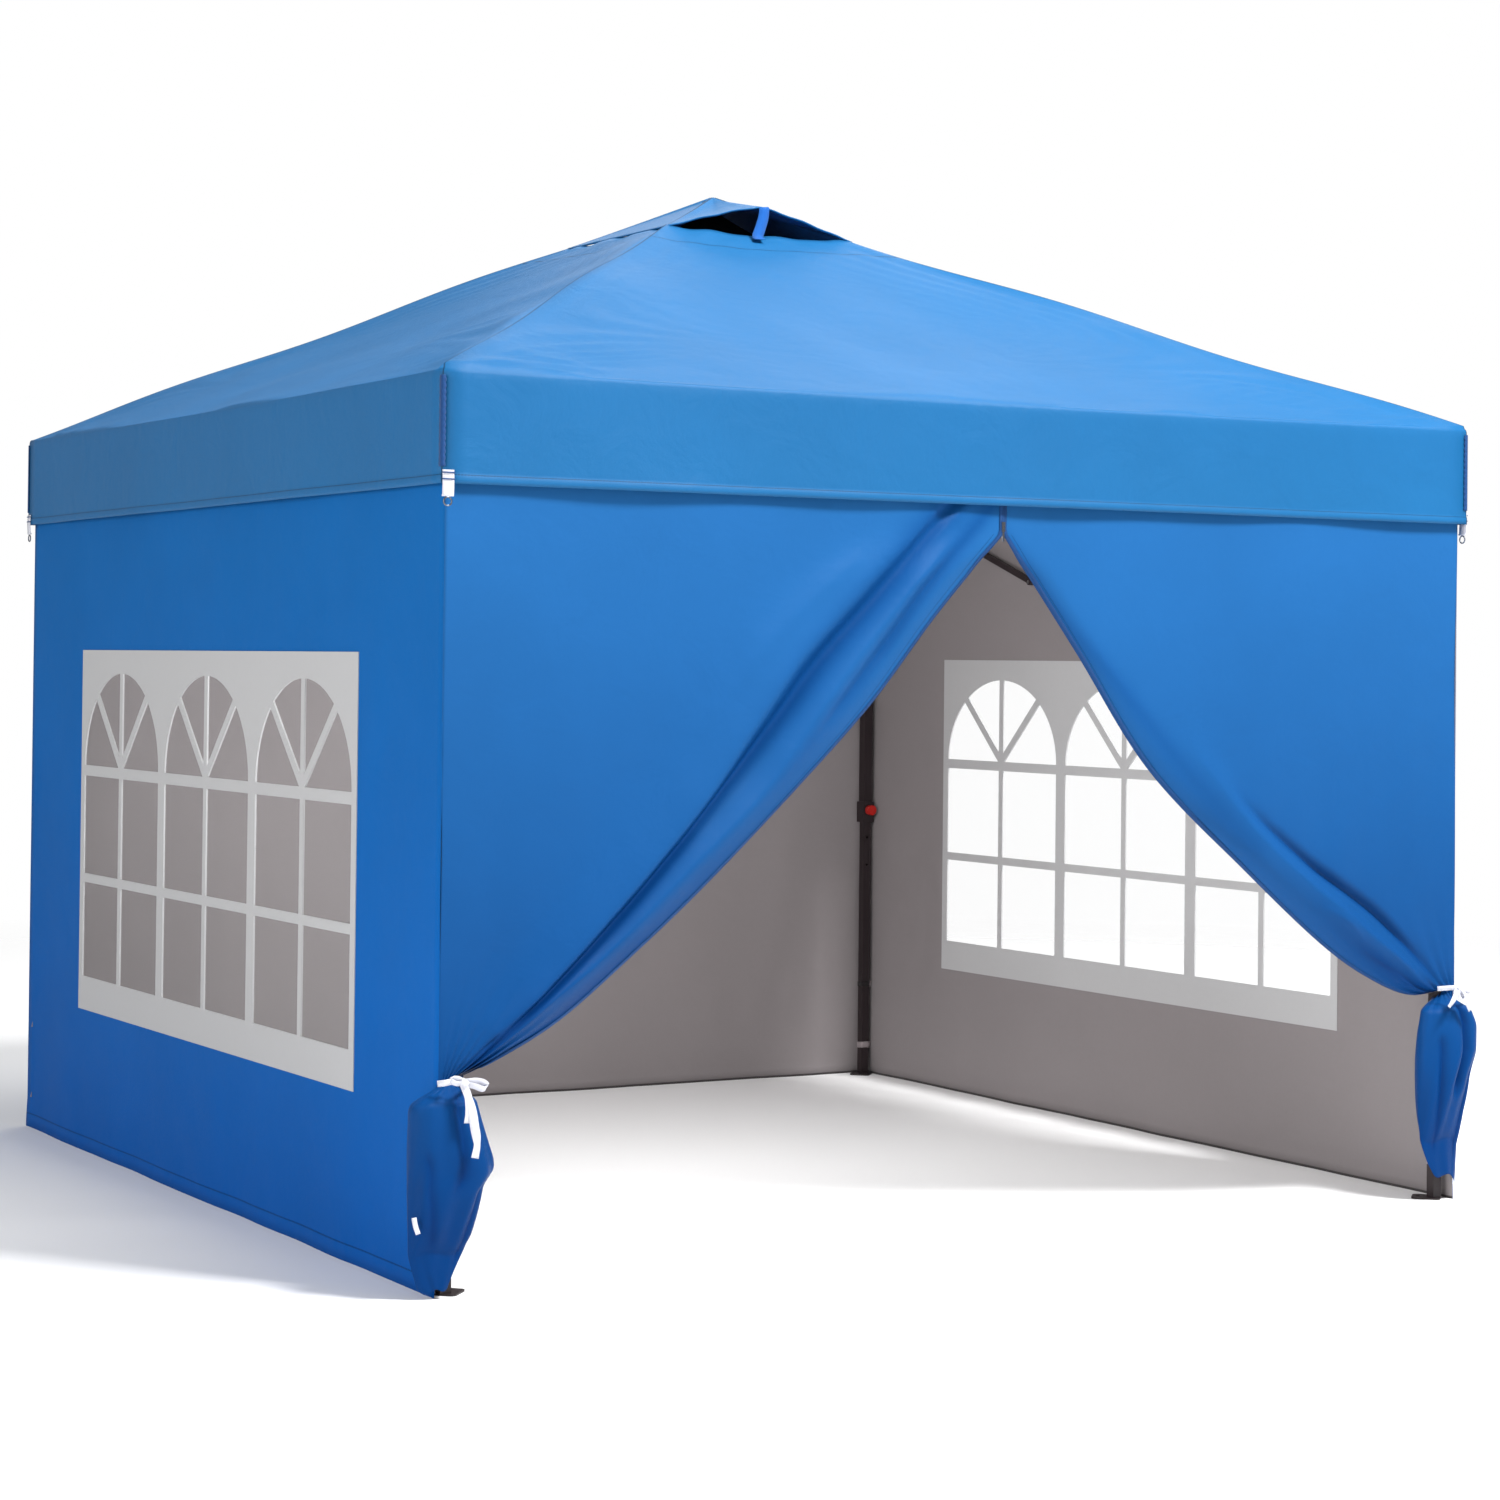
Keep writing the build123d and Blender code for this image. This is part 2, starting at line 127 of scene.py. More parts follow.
def cloth_mat(name, col, rough=0.62, sheen=0.02, weave=0.25, crease=0.25, lines=(), var=0.10, painted_shade_by_height=None, spec=0.22, shade=0.0):
    """Woven cloth: fine weave and soft creases in the bump, slow random changes of tone, painted shade by height and
    down in folds where asked, and rows of stitches where an attribute has a given value.
    """
    m, nt, p = new_mat(name)
    L = nt.links.new
    uv = nt.nodes.new("ShaderNodeUVMap")
    uv.uv_map = "UVMap"
    sep = nt.nodes.new("ShaderNodeSeparateXYZ")
    L(uv.outputs[0], sep.inputs[0])
    tc = nt.nodes.new("ShaderNodeTexCoord")
    slow = node(nt, "ShaderNodeTexNoise", Scale=2.2, Detail=3.0, Roughness=0.55)
    L(tc.outputs["Object"], slow.inputs["Vector"])
    fine = node(nt, "ShaderNodeTexNoise", Scale=90.0, Detail=4.0, Roughness=0.6)
    L(tc.outputs["Object"], fine.inputs["Vector"])
    dark = tuple(c * (1 - var) for c in col[:3]) + (1.0,)
    light = tuple(min(1.0, c * (1 + var)) for c in col[:3]) + (1.0,)
    c = mix_col(nt, slow.outputs[0], dark, light)
    c = mix_col(nt, math_node(nt, "MULTIPLY", fine.outputs[0], 0.10), c, tuple(x * 0.6 for x in col[:3]) + (1.0,))
    if painted_shade_by_height is not None:
        # painted shade: the colour changes slowly with height, from the first colour at the first height to the second
        # at the second; used to make cloth darker towards the bottom
        (z0, c0), (z1, c1) = painted_shade_by_height
        sz = nt.nodes.new("ShaderNodeSeparateXYZ")
        L(tc.outputs["Object"], sz.inputs[0])
        t = math_node(nt, "DIVIDE", math_node(nt, "SUBTRACT", sz.outputs[2], z0), z1 - z0, True)
        c = mix_col(nt, t, mix_col(nt, 1.0, c, c0, "MULTIPLY"), mix_col(nt, 1.0, c, c1, "MULTIPLY"))
    if shade:
        # painted shade: the cloth is darker down in its folds, through the shade attribute
        a = nt.nodes.new("ShaderNodeAttribute")
        a.attribute_name = "shade"
        c = mix_col(nt, math_node(nt, "MULTIPLY", a.outputs["Fac"], shade, True), c, mix_col(nt, 1.0, c, (0.10, 0.46, 0.64, 1.0), "MULTIPLY"))
    mask = None
    for attr, at, half, dash in lines:
        a = nt.nodes.new("ShaderNodeAttribute")
        a.attribute_name = attr
        d = math_node(nt, "ABSOLUTE", math_node(nt, "SUBTRACT", a.outputs["Fac"], at))
        on = math_node(nt, "LESS_THAN", d, half)
        if dash:
            fr = math_node(nt, "FRACT", math_node(nt, "DIVIDE", sep.outputs[0], dash))
            on = math_node(nt, "MULTIPLY", on, math_node(nt, "LESS_THAN", fr, 0.62))
        mask = on if mask is None else math_node(nt, "MAXIMUM", mask, on)
    if mask is not None:
        c = mix_col(nt, math_node(nt, "MULTIPLY", mask, 0.75), c, tuple(x * 0.12 for x in col[:3]) + (1.0,))
    L(c, p.inputs["Base Color"])
    p.inputs["Roughness"].default_value = rough
    p.inputs["Specular IOR Level"].default_value = spec
    p.inputs["Sheen Weight"].default_value = sheen
    p.inputs["Sheen Roughness"].default_value = 0.4
    # weave
    wx = math_node(nt, "SINE", math_node(nt, "MULTIPLY", sep.outputs[0], 2 * math.pi / 0.0016))
    wy = math_node(nt, "SINE", math_node(nt, "MULTIPLY", sep.outputs[1], 2 * math.pi / 0.0016))
    wv = math_node(nt, "MULTIPLY", wx, wy)
    b1 = node(nt, "ShaderNodeBump", Strength=weave, Distance=0.0004)
    L(wv, b1.inputs["Height"])
    cr = node(nt, "ShaderNodeTexNoise", Scale=7.0, Detail=5.0, Roughness=0.55, Distortion=0.6)
    L(tc.outputs["Object"], cr.inputs["Vector"])
    b2 = node(nt, "ShaderNodeBump", Strength=crease, Distance=0.02)
    L(cr.outputs[0], b2.inputs["Height"])
    L(b1.outputs[0], b2.inputs["Normal"])
    last = b2
    if mask is not None:
        b3 = node(nt, "ShaderNodeBump", Strength=0.5, Distance=0.002)
        L(math_node(nt, "SUBTRACT", 1.0, mask), b3.inputs["Height"])
        L(b2.outputs[0], b3.inputs["Normal"])
        last = b3
    L(last.outputs[0], p.inputs["Normal"])
    return m


def solid_mat(name, col, rough, metal=0.0, grain=0.0, scale=400.0, coat=0.0, var=0.08, spec=0.5):
    m, nt, p = new_mat(name)
    L = nt.links.new
    tc = nt.nodes.new("ShaderNodeTexCoord")
    n = node(nt, "ShaderNodeTexNoise", Scale=scale, Detail=3.0, Roughness=0.6)
    L(tc.outputs["Object"], n.inputs["Vector"])
    slow = node(nt, "ShaderNodeTexNoise", Scale=6.0, Detail=3.0, Roughness=0.5)
    L(tc.outputs["Object"], slow.inputs["Vector"])
    c = mix_col(nt, slow.outputs[0], tuple(c * (1 - var) for c in col[:3]) + (1.0,), tuple(min(1, c * (1 + var)) for c in col[:3]) + (1.0,))
    L(c, p.inputs["Base Color"])
    r = math_node(nt, "ADD", math_node(nt, "MULTIPLY", slow.outputs[0], 0.16), rough - 0.08)
    L(r, p.inputs["Roughness"])
    p.inputs["Metallic"].default_value = metal
    p.inputs["Specular IOR Level"].default_value = spec
    p.inputs["Coat Weight"].default_value = coat
    if grain:
        b = node(nt, "ShaderNodeBump", Strength=grain, Distance=0.0006)
        L(n.outputs[0], b.inputs["Height"])
        L(b.outputs[0], p.inputs["Normal"])
    return m


BLUE = srgb(24, 99, 153)
WALL_BLUE = srgb(14, 97, 166)
GREY_IN = srgb(137, 131, 132)
M = {
    "roof": cloth_mat("canopy_cloth_blue", BLUE, 0.46, 0.0, crease=0.22, spec=0.20, lines=[("hip", 0.0, 0.0022, None), ("run", 0.098, 0.0028, 0.016), ("drop", 0.235, 0.0012, 0.008)]),
    "cap": cloth_mat("vent_cap_cloth_blue", BLUE, 0.46, 0.0, crease=0.2, spec=0.20, lines=[("run", 0.012, 0.0018, 0.009), ("hip", 0.0, 0.003, None)]),
    # painted shade: the wall and door cloths are darker towards the bottom; the door cloth also gets painted shade down
    # in its folds
    "wall": cloth_mat("wall_cloth_blue", WALL_BLUE, 0.60, 0.0, crease=0.16, lines=[("drop", 1.955, 0.002, 0.008)], painted_shade_by_height=((0.0, (0.20, 0.76, 1.0, 1.0)), (1.7, (1.0, 1.0, 1.0, 1.0))), spec=0.06),
    "flap": cloth_mat("door_cloth_blue", srgb(34, 97, 158), 0.40, 0.0, crease=0.16, lines=[("edge", 0.024, 0.0015, 0.008)], painted_shade_by_height=((0.15, (0.0, 0.30, 0.47, 1.0)), (1.75, (1.0, 1.0, 1.0, 1.0))), spec=0.06, shade=0.8),
    "inner": cloth_mat("silver_grey_coating", GREY_IN, 0.6, 0.0, crease=0.12, var=0.02, lines=[("drop", 1.9915, 0.0035, None)], spec=0.15),
    "under": cloth_mat("vent_cap_underside_blue", srgb(30, 96, 180), 0.7, 0.0, crease=0.15),
    "net": cloth_mat("vent_net", srgb(22, 30, 34), 0.9, 0.0, weave=0.6, crease=0.3),
    "strap_blue": cloth_mat("webbing_blue", srgb(12, 92, 175), 0.7, 0.1, weave=0.6, crease=0.1),
    "strap_white": cloth_mat("webbing_white", srgb(225, 226, 235), 0.7, 0.1, weave=0.6, crease=0.15, var=0.04),
    "strap_grey": cloth_mat("webbing_grey", srgb(150, 140, 142), 0.75, 0.1, weave=0.6, crease=0.15),
    "strap_dark": cloth_mat("webbing_dark", srgb(34, 29, 31), 0.75, 0.1, weave=0.6, crease=0.15),
    "tape": cloth_mat("window_tape_grey", srgb(182, 182, 183), 0.6, 0.0, weave=0.15, crease=0.05, var=0.02),
    "seam": cloth_mat("corner_seam_blue", srgb(22, 68, 124), 0.7, 0.1, weave=0.5, crease=0.2),
    "zip": cloth_mat("zip_tape_dark", srgb(20, 70, 128), 0.6, 0.0, weave=0.8, crease=0.1),
    "steel": solid_mat("powder_coat_brown_black", srgb(40, 32, 34), 0.45, 0.0, grain=0.35, scale=900.0, coat=0.05, spec=0.3),
    "plastic": solid_mat("black_nylon", srgb(26, 26, 28), 0.55, 0.0, grain=0.3, scale=700.0),
    "rivet": solid_mat("zinc_rivet", srgb(150, 150, 152), 0.35, 1.0, grain=0.1),
    "red": solid_mat("red_knob_plastic", srgb(170, 22, 14), 0.35, 0.0, grain=0.1, scale=300.0),
    "chrome": solid_mat("plated_steel", srgb(120, 124, 134), 0.28, 1.0, grain=0.06, scale=250.0),
}
# clear vinyl: thin, slightly milky sheet
m, nt, p = new_mat("clear_vinyl")
p.inputs["Base Color"].default_value = srgb(235, 238, 240)
p.inputs["Roughness"].default_value = 0.12
p.inputs["Alpha"].default_value = 0.07
tc = nt.nodes.new("ShaderNodeTexCoord")
n = node(nt, "ShaderNodeTexNoise", Scale=5.0, Detail=3.0)
nt.links.new(tc.outputs["Object"], n.inputs["Vector"])
b = node(nt, "ShaderNodeBump", Strength=0.25, Distance=0.01)
nt.links.new(n.outputs[0], b.inputs["Height"])
nt.links.new(b.outputs[0], p.inputs["Normal"])
M["vinyl"] = m


# ---------------------------------------------------------------- meshes
def grid(name, P, mats, uv=None, closed=False, attrs=None, drop=None, solid=None, flip=False):
    """A sheet from an array of rows of points."""
    R, C = P.shape[:2]
    n_c = C if closed else C - 1
    r, c = np.meshgrid(np.arange(R - 1), np.arange(n_c), indexing="ij")
    c2 = (c + 1) % C
    quads = np.stack([r * C + c, r * C + c2, (r + 1) * C + c2, (r + 1) * C + c], -1).reshape(-1, 4)
    cells = np.stack([r, c], -1).reshape(-1, 2)
    if drop is not None:
        keep = ~drop[cells[:, 0], cells[:, 1]]
        quads, cells = quads[keep], cells[keep]
    if not flip:
        quads = quads[:, ::-1]
    verts = P.reshape(-1, 3)
    used = np.unique(quads)
    remap = -np.ones(len(verts), int)
    remap[used] = np.arange(len(used))
    me = bpy.data.meshes.new(name)
    me.from_pydata(verts[used].tolist(), [], remap[quads].tolist())
    if uv is None:
        uv = np.zeros((R, C + 1, 2))
        du = np.linalg.norm(np.diff(P, axis=1), axis=2)
        uv[:, 1:C, 0] = np.cumsum(du, axis=1)
        uv[:, C, 0] = uv[:, C - 1, 0] + np.linalg.norm(P[:, 0] - P[:, -1], axis=1)
        uv[1:, :C, 1] = np.cumsum(np.linalg.norm(np.diff(P, axis=0), axis=2), axis=0)
        uv[:, C, 1] = uv[:, 0, 1]
    layer = me.uv_layers.new(name="UVMap")
    rr = np.stack([cells[:, 0], cells[:, 0], cells[:, 0] + 1, cells[:, 0] + 1], -1)
    cc = np.stack([cells[:, 1], cells[:, 1] + 1, cells[:, 1] + 1, cells[:, 1]], -1)
    if not flip:
        rr, cc = rr[:, ::-1], cc[:, ::-1]
    layer.data.foreach_set("uv", uv[rr, cc].reshape(-1).astype(np.float32))
    for k, v in (attrs or {}).items():
        a = me.attributes.new(k, "FLOAT", "POINT")
        a.data.foreach_set("value", np.asarray(v, np.float32).reshape(-1)[used])
    for mt in mats:
        me.materials.append(mt)
    me.polygons.foreach_set("use_smooth", np.ones(len(me.polygons), bool))
    o = bpy.data.objects.new(name, me)
    bpy.context.scene.collection.objects.link(o)
    return o


def thicken(o, t, inner=None, offset=-1.0):
    """Solidify towards the inner side; the inner side takes the second material and the rim keeps the first."""
    s = o.modifiers.new("thick", "SOLIDIFY")
    s.thickness = t
    s.offset = offset
    s.use_even_offset = False
    if inner is not None:
        s.material_offset = inner
        s.material_offset_rim = 0
    return o


def follow(o, hub=False, snap=False, door=False):
    """The piece folds with the frame: each point moves with the four legs, shared out by where it is between them, and the roof also sinks with the hub. With snap, what is near a leg keeps to that leg. With door, the gathered cloth beside a leg keeps its width."""
    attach(o, ROOT)
    bpy.context.view_layer.update()
    co = np.array([o.matrix_world @ v.co for v in o.data.vertices], float).reshape(-1, 3)
    reach = 1.30 if door else LEG
    a = np.clip((co[:, 0] + reach) / (2 * reach), 0, 1)
    b = np.clip((co[:, 1] + LEG) / (2 * LEG), 0, 1)
    if snap:
        by_leg = (abs(co[:, 0]) > 1.2) & (abs(co[:, 1]) > 1.2)
        a, b = np.where(by_leg, np.round(a), a), np.where(by_leg, np.round(b), b)
    h = np.zeros(len(co))
    if hub:
        d = np.maximum(abs(co[:, 0]), abs(co[:, 1]))
        h = 0.80 * np.clip(1 - d / 1.3, 0, 1)
    rest = np.maximum(1 - h, 1e-6)
    a1, b1 = np.clip(a - h / 2, 0, rest), np.clip(b - h / 2, 0, rest)
    share = {
        "front_right_upper_leg": a1 * (rest - b1) / rest,
        "back_right_upper_leg": a1 * b1 / rest,
        "back_left_upper_leg": (rest - a1) * b1 / rest,
    }
    if hub:
        share["center_hub"] = h
    for body, w in share.items():
        if w.max() < 1e-6:
            continue
        g = o.vertex_groups.new(name=body)
        q = np.round(w, 4)
        for value in np.unique(q):
            if value > 0:
                g.add(np.flatnonzero(q == value).tolist(), float(value), "REPLACE")
        mod = o.modifiers.new("follow_" + body, "HOOK")
        mod.object = frame["bodies"][body]
        mod.vertex_group = body
        mod.falloff_type = "NONE"
        mod.strength = 1.0
        mod.matrix_inverse = frame["bodies"][body].matrix_world.inverted() @ o.matrix_world
    # the cloth gets its thickness after it has moved
    names = [m.name for m in o.modifiers if m.type == "SOLIDIFY"]
    for nm in names:
        i = o.modifiers.find(nm)
        o.modifiers.move(i, len(o.modifiers) - 1)
    return o


def waves(u, v, seed, n=10, lo=1.0, hi=6.0):
    """A smooth field between about -1 and 1, from a few plane waves."""
    r = np.random.default_rng(int(seed * 10) + 1)
    out = 0
    for _ in range(n):
        f, th, ph = r.uniform(lo, hi), r.uniform(0, math.pi), r.uniform(0, 2 * math.pi)
        out = out + np.sin(2 * math.pi * f * (u * math.cos(th) + v * math.sin(th)) + ph)
    return out / math.sqrt(n) / 1.2


def ring(k, s, d):
    """Points round a square ring: k is the side, s from -1 to 1 along it, d the distance from the middle."""
    x, y = s * d, -d
    for _ in range(k):
        x, y = -y, x
    return x, y


# ---------------------------------------------------------------- roof, one sheet from the vent down over the eave to the hem
SEG = 48
HOLE_D = 0.296
side_s = np.concatenate([np.linspace(-1, 1, SEG, endpoint=False)] * 4)
side_k = np.repeat(np.arange(4), SEG)
rows = []
for d in np.linspace(HOLE_D, 1.494, 64):
    rows.append(("slope", d))
for a in (0.25, 0.6, 1.0):
    rows.append(("turn", a))
for h in np.concatenate([np.linspace(0.012, 0.228, 12), [0.2345, 0.2365, 0.246, 0.2555]]):
    rows.append(("drop", h))
P = np.zeros((len(rows), 4 * SEG, 3))
hip = np.zeros(P.shape[:2])
run = np.zeros(P.shape[:2])
drop_a = np.full(P.shape[:2], -1.0)
for i, (kind, q) in enumerate(rows):
    for j in range(4 * SEG):
        k, s = side_k[j], side_s[j]
        if kind == "slope":
            x, y = ring(k, s, q)
            z = EAVE + RISE * (1 - q / HALF)
            t = (q - HOLE_D) / (1.494 - HOLE_D)
            z -= 0.026 * math.cos(s * math.pi / 2) * math.sin(math.pi * min(1, t * 1.02)) ** 0.8
            # tight folds that fan out of each corner, and a few up by the vent
            cd = (1 - abs(s)) * q
            out = HALF - q
            z += 0.0070 * math.sin(cd * 88 / (0.35 + out) + k) * math.exp(-cd / 0.32) * math.exp(-out / 0.8) * smooth(cd / 0.05)
            z += (0.0025 * math.sin(s * 9 + k) - 0.006 * math.cos(s * math.pi / 2) * (k % 2 == 0)) * math.exp(-(q - HOLE_D) / 0.10) * smooth((1 - abs(s)) / 0.2)
            z += 0.004 * math.exp(-((cd / 0.012) ** 2)) + 0.006 * math.sin(q * 9.5 + k) * math.exp(-((cd / 0.25) ** 2))
            z -= 0.006 * math.cos(s * math.pi / 2) * smooth((q - 1.3) / 0.19)
            run[i, j] = q - HOLE_D
            drop_a[i, j] = -1
        elif kind == "turn":
            x, y = ring(k, s, lerp(1.494, HALF, math.sin(q * math.pi / 2)))
            z = EAVE + 0.0018 - 0.010 * (1 - math.cos(q * math.pi / 2)) - 0.006 * math.cos(s * math.pi / 2)
            run[i, j] = 1.3
            drop_a[i, j] = 0.004 * q
        else:
            bulge = 0.0035 * math.sin(s * 7.3 + 1.7 * k) * (q / 0.25) ** 1.5 + 0.002 * math.sin(s * 17 + 2.3 * k) * (q / 0.25) ** 2
            bulge *= smooth((1 - abs(s)) / 0.12)
            if q > 0.235:
                bulge += 0.0012
            x, y = ring(k, s, HALF + bulge + 0.0005)
            z = EAVE - 0.010 - q * (VAL - 0.010) / 0.2555 - 0.006 * math.cos(s * math.pi / 2) * (1 - q / 0.26)
            run[i, j] = 1.35
            drop_a[i, j] = q
        P[i, j] = (x, y, z)
        hip[i, j] = (1 - abs(s)) * max(abs(x), abs(y))
wv = waves(P[..., 0], P[..., 1], 3, 12, 0.6, 3.0)
slope_rows = np.array([k == "slope" for k, _ in rows])
wv *= smooth((P[..., :2].__abs__().max(-1) - 0.33) / 0.1)
P[slope_rows, :, 2] += 0.0055 * wv[slope_rows] * np.minimum(1, hip[slope_rows] / 0.1)
uv = np.zeros((len(rows), 4 * SEG + 1, 2))
vlen = np.concatenate([[0], np.cumsum(np.linalg.norm(np.diff(P[:, 0], axis=0), axis=1))])
ulen = np.concatenate([[0], np.cumsum(np.linalg.norm(np.diff(np.vstack([P[-1], P[-1, :1]]), axis=0), axis=1))])
uv[..., 0], uv[..., 1] = ulen[None, :], vlen[:, None]
roof = grid("roof_cover_cloth", P, [M["roof"], M["inner"]], uv=uv, closed=True, attrs={"hip": hip, "run": run, "drop": drop_a})
thicken(roof, 0.0009, 1)
follow(roof, hub=True)
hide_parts("roof_cover")


# ---------------------------------------------------------------- vent cap, its straps and the net under it
CAP = 0.298
PEAK = Vector((0.012, 0.0, 2.7365))
SEGC = 26
cs = np.concatenate([np.linspace(-1, 1, SEGC, endpoint=False)] * 4)
ck = np.repeat(np.arange(4), SEGC)
crow = list(np.linspace(0.006, CAP, 26)) + [CAP + 0.0005, CAP - 0.002, CAP - 0.010]


def cap_edge(k, s):
    low = 2.6025
    if k % 2:
        return low
    return 2.6785 - (2.6785 - low) * abs(s) ** 1.2


P = np.zeros((len(crow), 4 * SEGC, 3))
run = np.zeros(P.shape[:2])
hip = np.zeros(P.shape[:2])
for i, d in enumerate(crow):
    for j in range(4 * SEGC):
        k, s = ck[j], cs[j]
        x, y = ring(k, s, d)
        e = cap_edge(k, s)
        t = min(d, CAP) / CAP
        z = PEAK.z + (e - PEAK.z) * t ** (0.92 if k % 2 == 0 else 0.97)
        if k % 2 == 0:
            z -= 0.010 * math.sin(math.pi * t) * math.sin(math.pi * abs(s))
        z += 0.0015 * math.sin(s * 17 + k) * t * smooth((1 - abs(s)) / 0.2) * (k % 2 == 0)
        z += 0.006 * math.exp(-(((1 - abs(s)) * d / 0.014) ** 2)) * math.exp(-(t / 0.7) ** 2)
        if i > 25:
            z -= (0.002, 0.005, 0.006)[i - 26]
        P[i, j] = (x + PEAK.x * (1 - t), y, z)
        run[i, j] = CAP - d if i <= 25 else -0.01
        hip[i, j] = (1 - abs(s)) * d
cap = grid("vent_cap_cloth", P, [M["cap"], M["under"]], closed=True, attrs={"run": run, "hip": hip})
thicken(cap, 0.0009, 1)
follow(cap, hub=True)
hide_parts("vent_cap")

# net under the cap
P = np.zeros((10, 4 * 16, 3))
for i, t in enumerate(np.linspace(0, 1, 10)):
    for j in range(64):
        k, s = j // 16, -1 + 2 * (j % 16) / 16
        d = lerp(0.335, 0.018, t)
        x, y = ring(k, s, d)
        z = EAVE + RISE * (1 - d / HALF) - 0.030 - 0.045 * math.sin(math.pi * t) - 0.004 * t
        P[i, j] = (x, y, z)
net = grid("vent_net_sheet", P, [M["net"]], closed=True)
thicken(net, 0.0006)
follow(net, hub=True)


def path_points(pts, n=None, step=0.006):
    """A smooth line through the points."""
    pts = np.array(pts, float)
    q = np.vstack([2 * pts[0] - pts[1], pts, 2 * pts[-1] - pts[-2]])
    out = []
    for i in range(1, len(q) - 2):
        m = max(2, int(np.linalg.norm(q[i + 1] - q[i]) / step))
        for t in np.linspace(0, 1, m, endpoint=False):
            out.append(0.5 * (2 * q[i] + (q[i + 1] - q[i - 1]) * t + (2 * q[i - 1] - 5 * q[i] + 4 * q[i + 1] - q[i + 2]) * t**2 + (3 * q[i] - q[i - 1] - 3 * q[i + 1] + q[i + 2]) * t**3))
    out.append(pts[-1])
    return np.array(out)


def ribbon(name, pts, width, across, mat, thick=0.0009, smooth_path=True, step=0.006, cross=3, widths=None):
    """A strip of webbing along a line. across is the direction of its width, or one direction for each given point."""
    line = path_points(pts, step=step) if smooth_path else np.array(pts, float)
    across = np.array(across, float)
    if across.ndim == 1:
        across = np.repeat(across[None], len(line), 0)
    else:
        at = np.linspace(0, 1, len(across))
        tt = np.linspace(0, 1, len(line))
        across = np.stack([np.interp(tt, at, across[:, k]) for k in range(3)], 1)
    tang = np.gradient(line, axis=0)
    tang /= np.maximum(np.linalg.norm(tang, axis=1), 1e-9)[:, None]
    across = across - (across * tang).sum(1)[:, None] * tang
    across /= np.maximum(np.linalg.norm(across, axis=1), 1e-9)[:, None]
    w = width if widths is None else np.interp(np.linspace(0, 1, len(line)), np.linspace(0, 1, len(widths)), widths)[:, None]
    P = np.stack([line + across * w * c for c in np.linspace(-0.5, 0.5, cross)], 1)
    o = grid(name, P, [mat])
    thicken(o, thick, offset=0.0)
    return o


def strips(name, parts):
    """Several strips joined in one piece."""
    bpy.context.view_layer.update()
    dg = bpy.context.evaluated_depsgraph_get()
    base = None
    bpy.ops.object.select_all(action="DESELECT")
    for o in parts:
        o.select_set(True)
        bpy.context.view_layer.objects.active = o
        for mod in list(o.modifiers):
            bpy.ops.object.modifier_apply(modifier=mod.name)
    bpy.context.view_layer.objects.active = parts[0]
    if len(parts) > 1:
        bpy.ops.object.join()
    o = bpy.context.view_layer.objects.active
    o.name = name
    o.data.name = name
    bpy.ops.object.select_all(action="DESELECT")
    return o


parts = []
for k in (0, 2):
    a = math.pi / 2 * k
    rot = Matrix.Rotation(a, 3, "Z")
    pts = [(0.010, -0.288, 2.6775), (0.009, -0.3015, 2.6745), (0.002, -0.309, 2.645), (-0.014, -0.318, 2.610), (-0.026, -0.328, 2.5895), (-0.031, -0.352, 2.5795)]
    parts.append(ribbon(f"vs{k}", [tuple(rot @ Vector(p)) for p in pts], 0.031, tuple(rot @ Vector((1, 0, 0.12))), M["strap_blue"], thick=0.0012))
vstraps = strips("vent_cap_straps", parts)
follow(vstraps, hub=True)


# ---------------------------------------------------------------- walls
def wall_points(side, us, zs, seed, amp=0.0045, quiet=None, out=WALL):
    """Rows from the top down. side 1 right, 2 back, 3 left."""
    U, Z = np.meshgrid(us, zs)
    drape = np.sin(2 * math.pi * U / 0.93 + seed) * 0.5 + np.sin(2 * math.pi * U / 0.41 + 2.1 * seed) * 0.3
    w = amp * (drape * smooth((1.95 - Z) / 0.9) + 0.55 * waves(U, Z, seed, 12, 0.4, 2.2) + 0.18 * waves(U, Z, seed + 50, 10, 3, 7))
    w *= smooth((1.49 - abs(U)) / 0.06)
    if quiet is not None:
        w *= 1 - quiet(U, Z)
    D = out + w + 0.0035 * smooth((0.10 - Z) / 0.09)
    x, y = U, -D
    for _ in range(side):
        x, y = -y, x
    return np.stack([x, y, Z], -1), U, Z


def win_quiet(U, Z):
    du = np.maximum(abs(U) - 1.02, 0)
    dz = np.maximum(np.maximum(Z - 1.44, 0.39 - Z), 0)
    return 1 - smooth(np.hypot(du, dz) / 0.10)


def spaced(a, b, step, extra=()):
    v = set(np.round(np.linspace(a, b, int(abs(b - a) / step) + 1), 5)) | set(extra)
    return np.array(sorted(v))


TOP, BOT = 1.995, 0.0
wall_names = {1: "right_wall", 2: "back_wall", 3: "left_wall"}
for side in (1, 2, 3):
    has = side != 2
    us = spaced(-1.4835, 1.4835, 0.03, (-0.985, 0.985) if has else ())
    zs = spaced(BOT, TOP, 0.03, (0.425, 1.405) if has else ())[::-1]
    P, U, Z = wall_points(side, us, zs, seed=side * 7, amp=0.006 if not has else 0.005, quiet=win_quiet if has else None)
    cell = None
    if has:
        uc, zc = (us[1:] + us[:-1]) / 2, (zs[1:] + zs[:-1]) / 2
        cell = (abs(uc)[None, :] < 0.985) & (zc[:, None] > 0.425) & (zc[:, None] < 1.405)
    o = grid(wall_names[side] + "_cloth", P, [M["wall"], M["inner"]], attrs={"drop": TOP - Z}, drop=cell)
    thicken(o, 0.0009, 1)
    follow(o)
    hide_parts(wall_names[side])
    if has:
        us = spaced(-1.0, 1.0, 0.05)
        zs = spaced(0.41, 1.42, 0.05)[::-1]
        P, U, Z = wall_points(side, us, zs, seed=side * 5, amp=0.0, out=WALL - 0.0006)
        w = 0.0012 * waves(U, Z, side + 90, 8, 0.3, 1.2)
        P[..., 0] += w * (1 if side == 1 else -1)
        v = grid(wall_names[side].replace("wall", "window") + "_vinyl", P, [M["vinyl"]])
        follow(v)
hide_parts("window_panes")

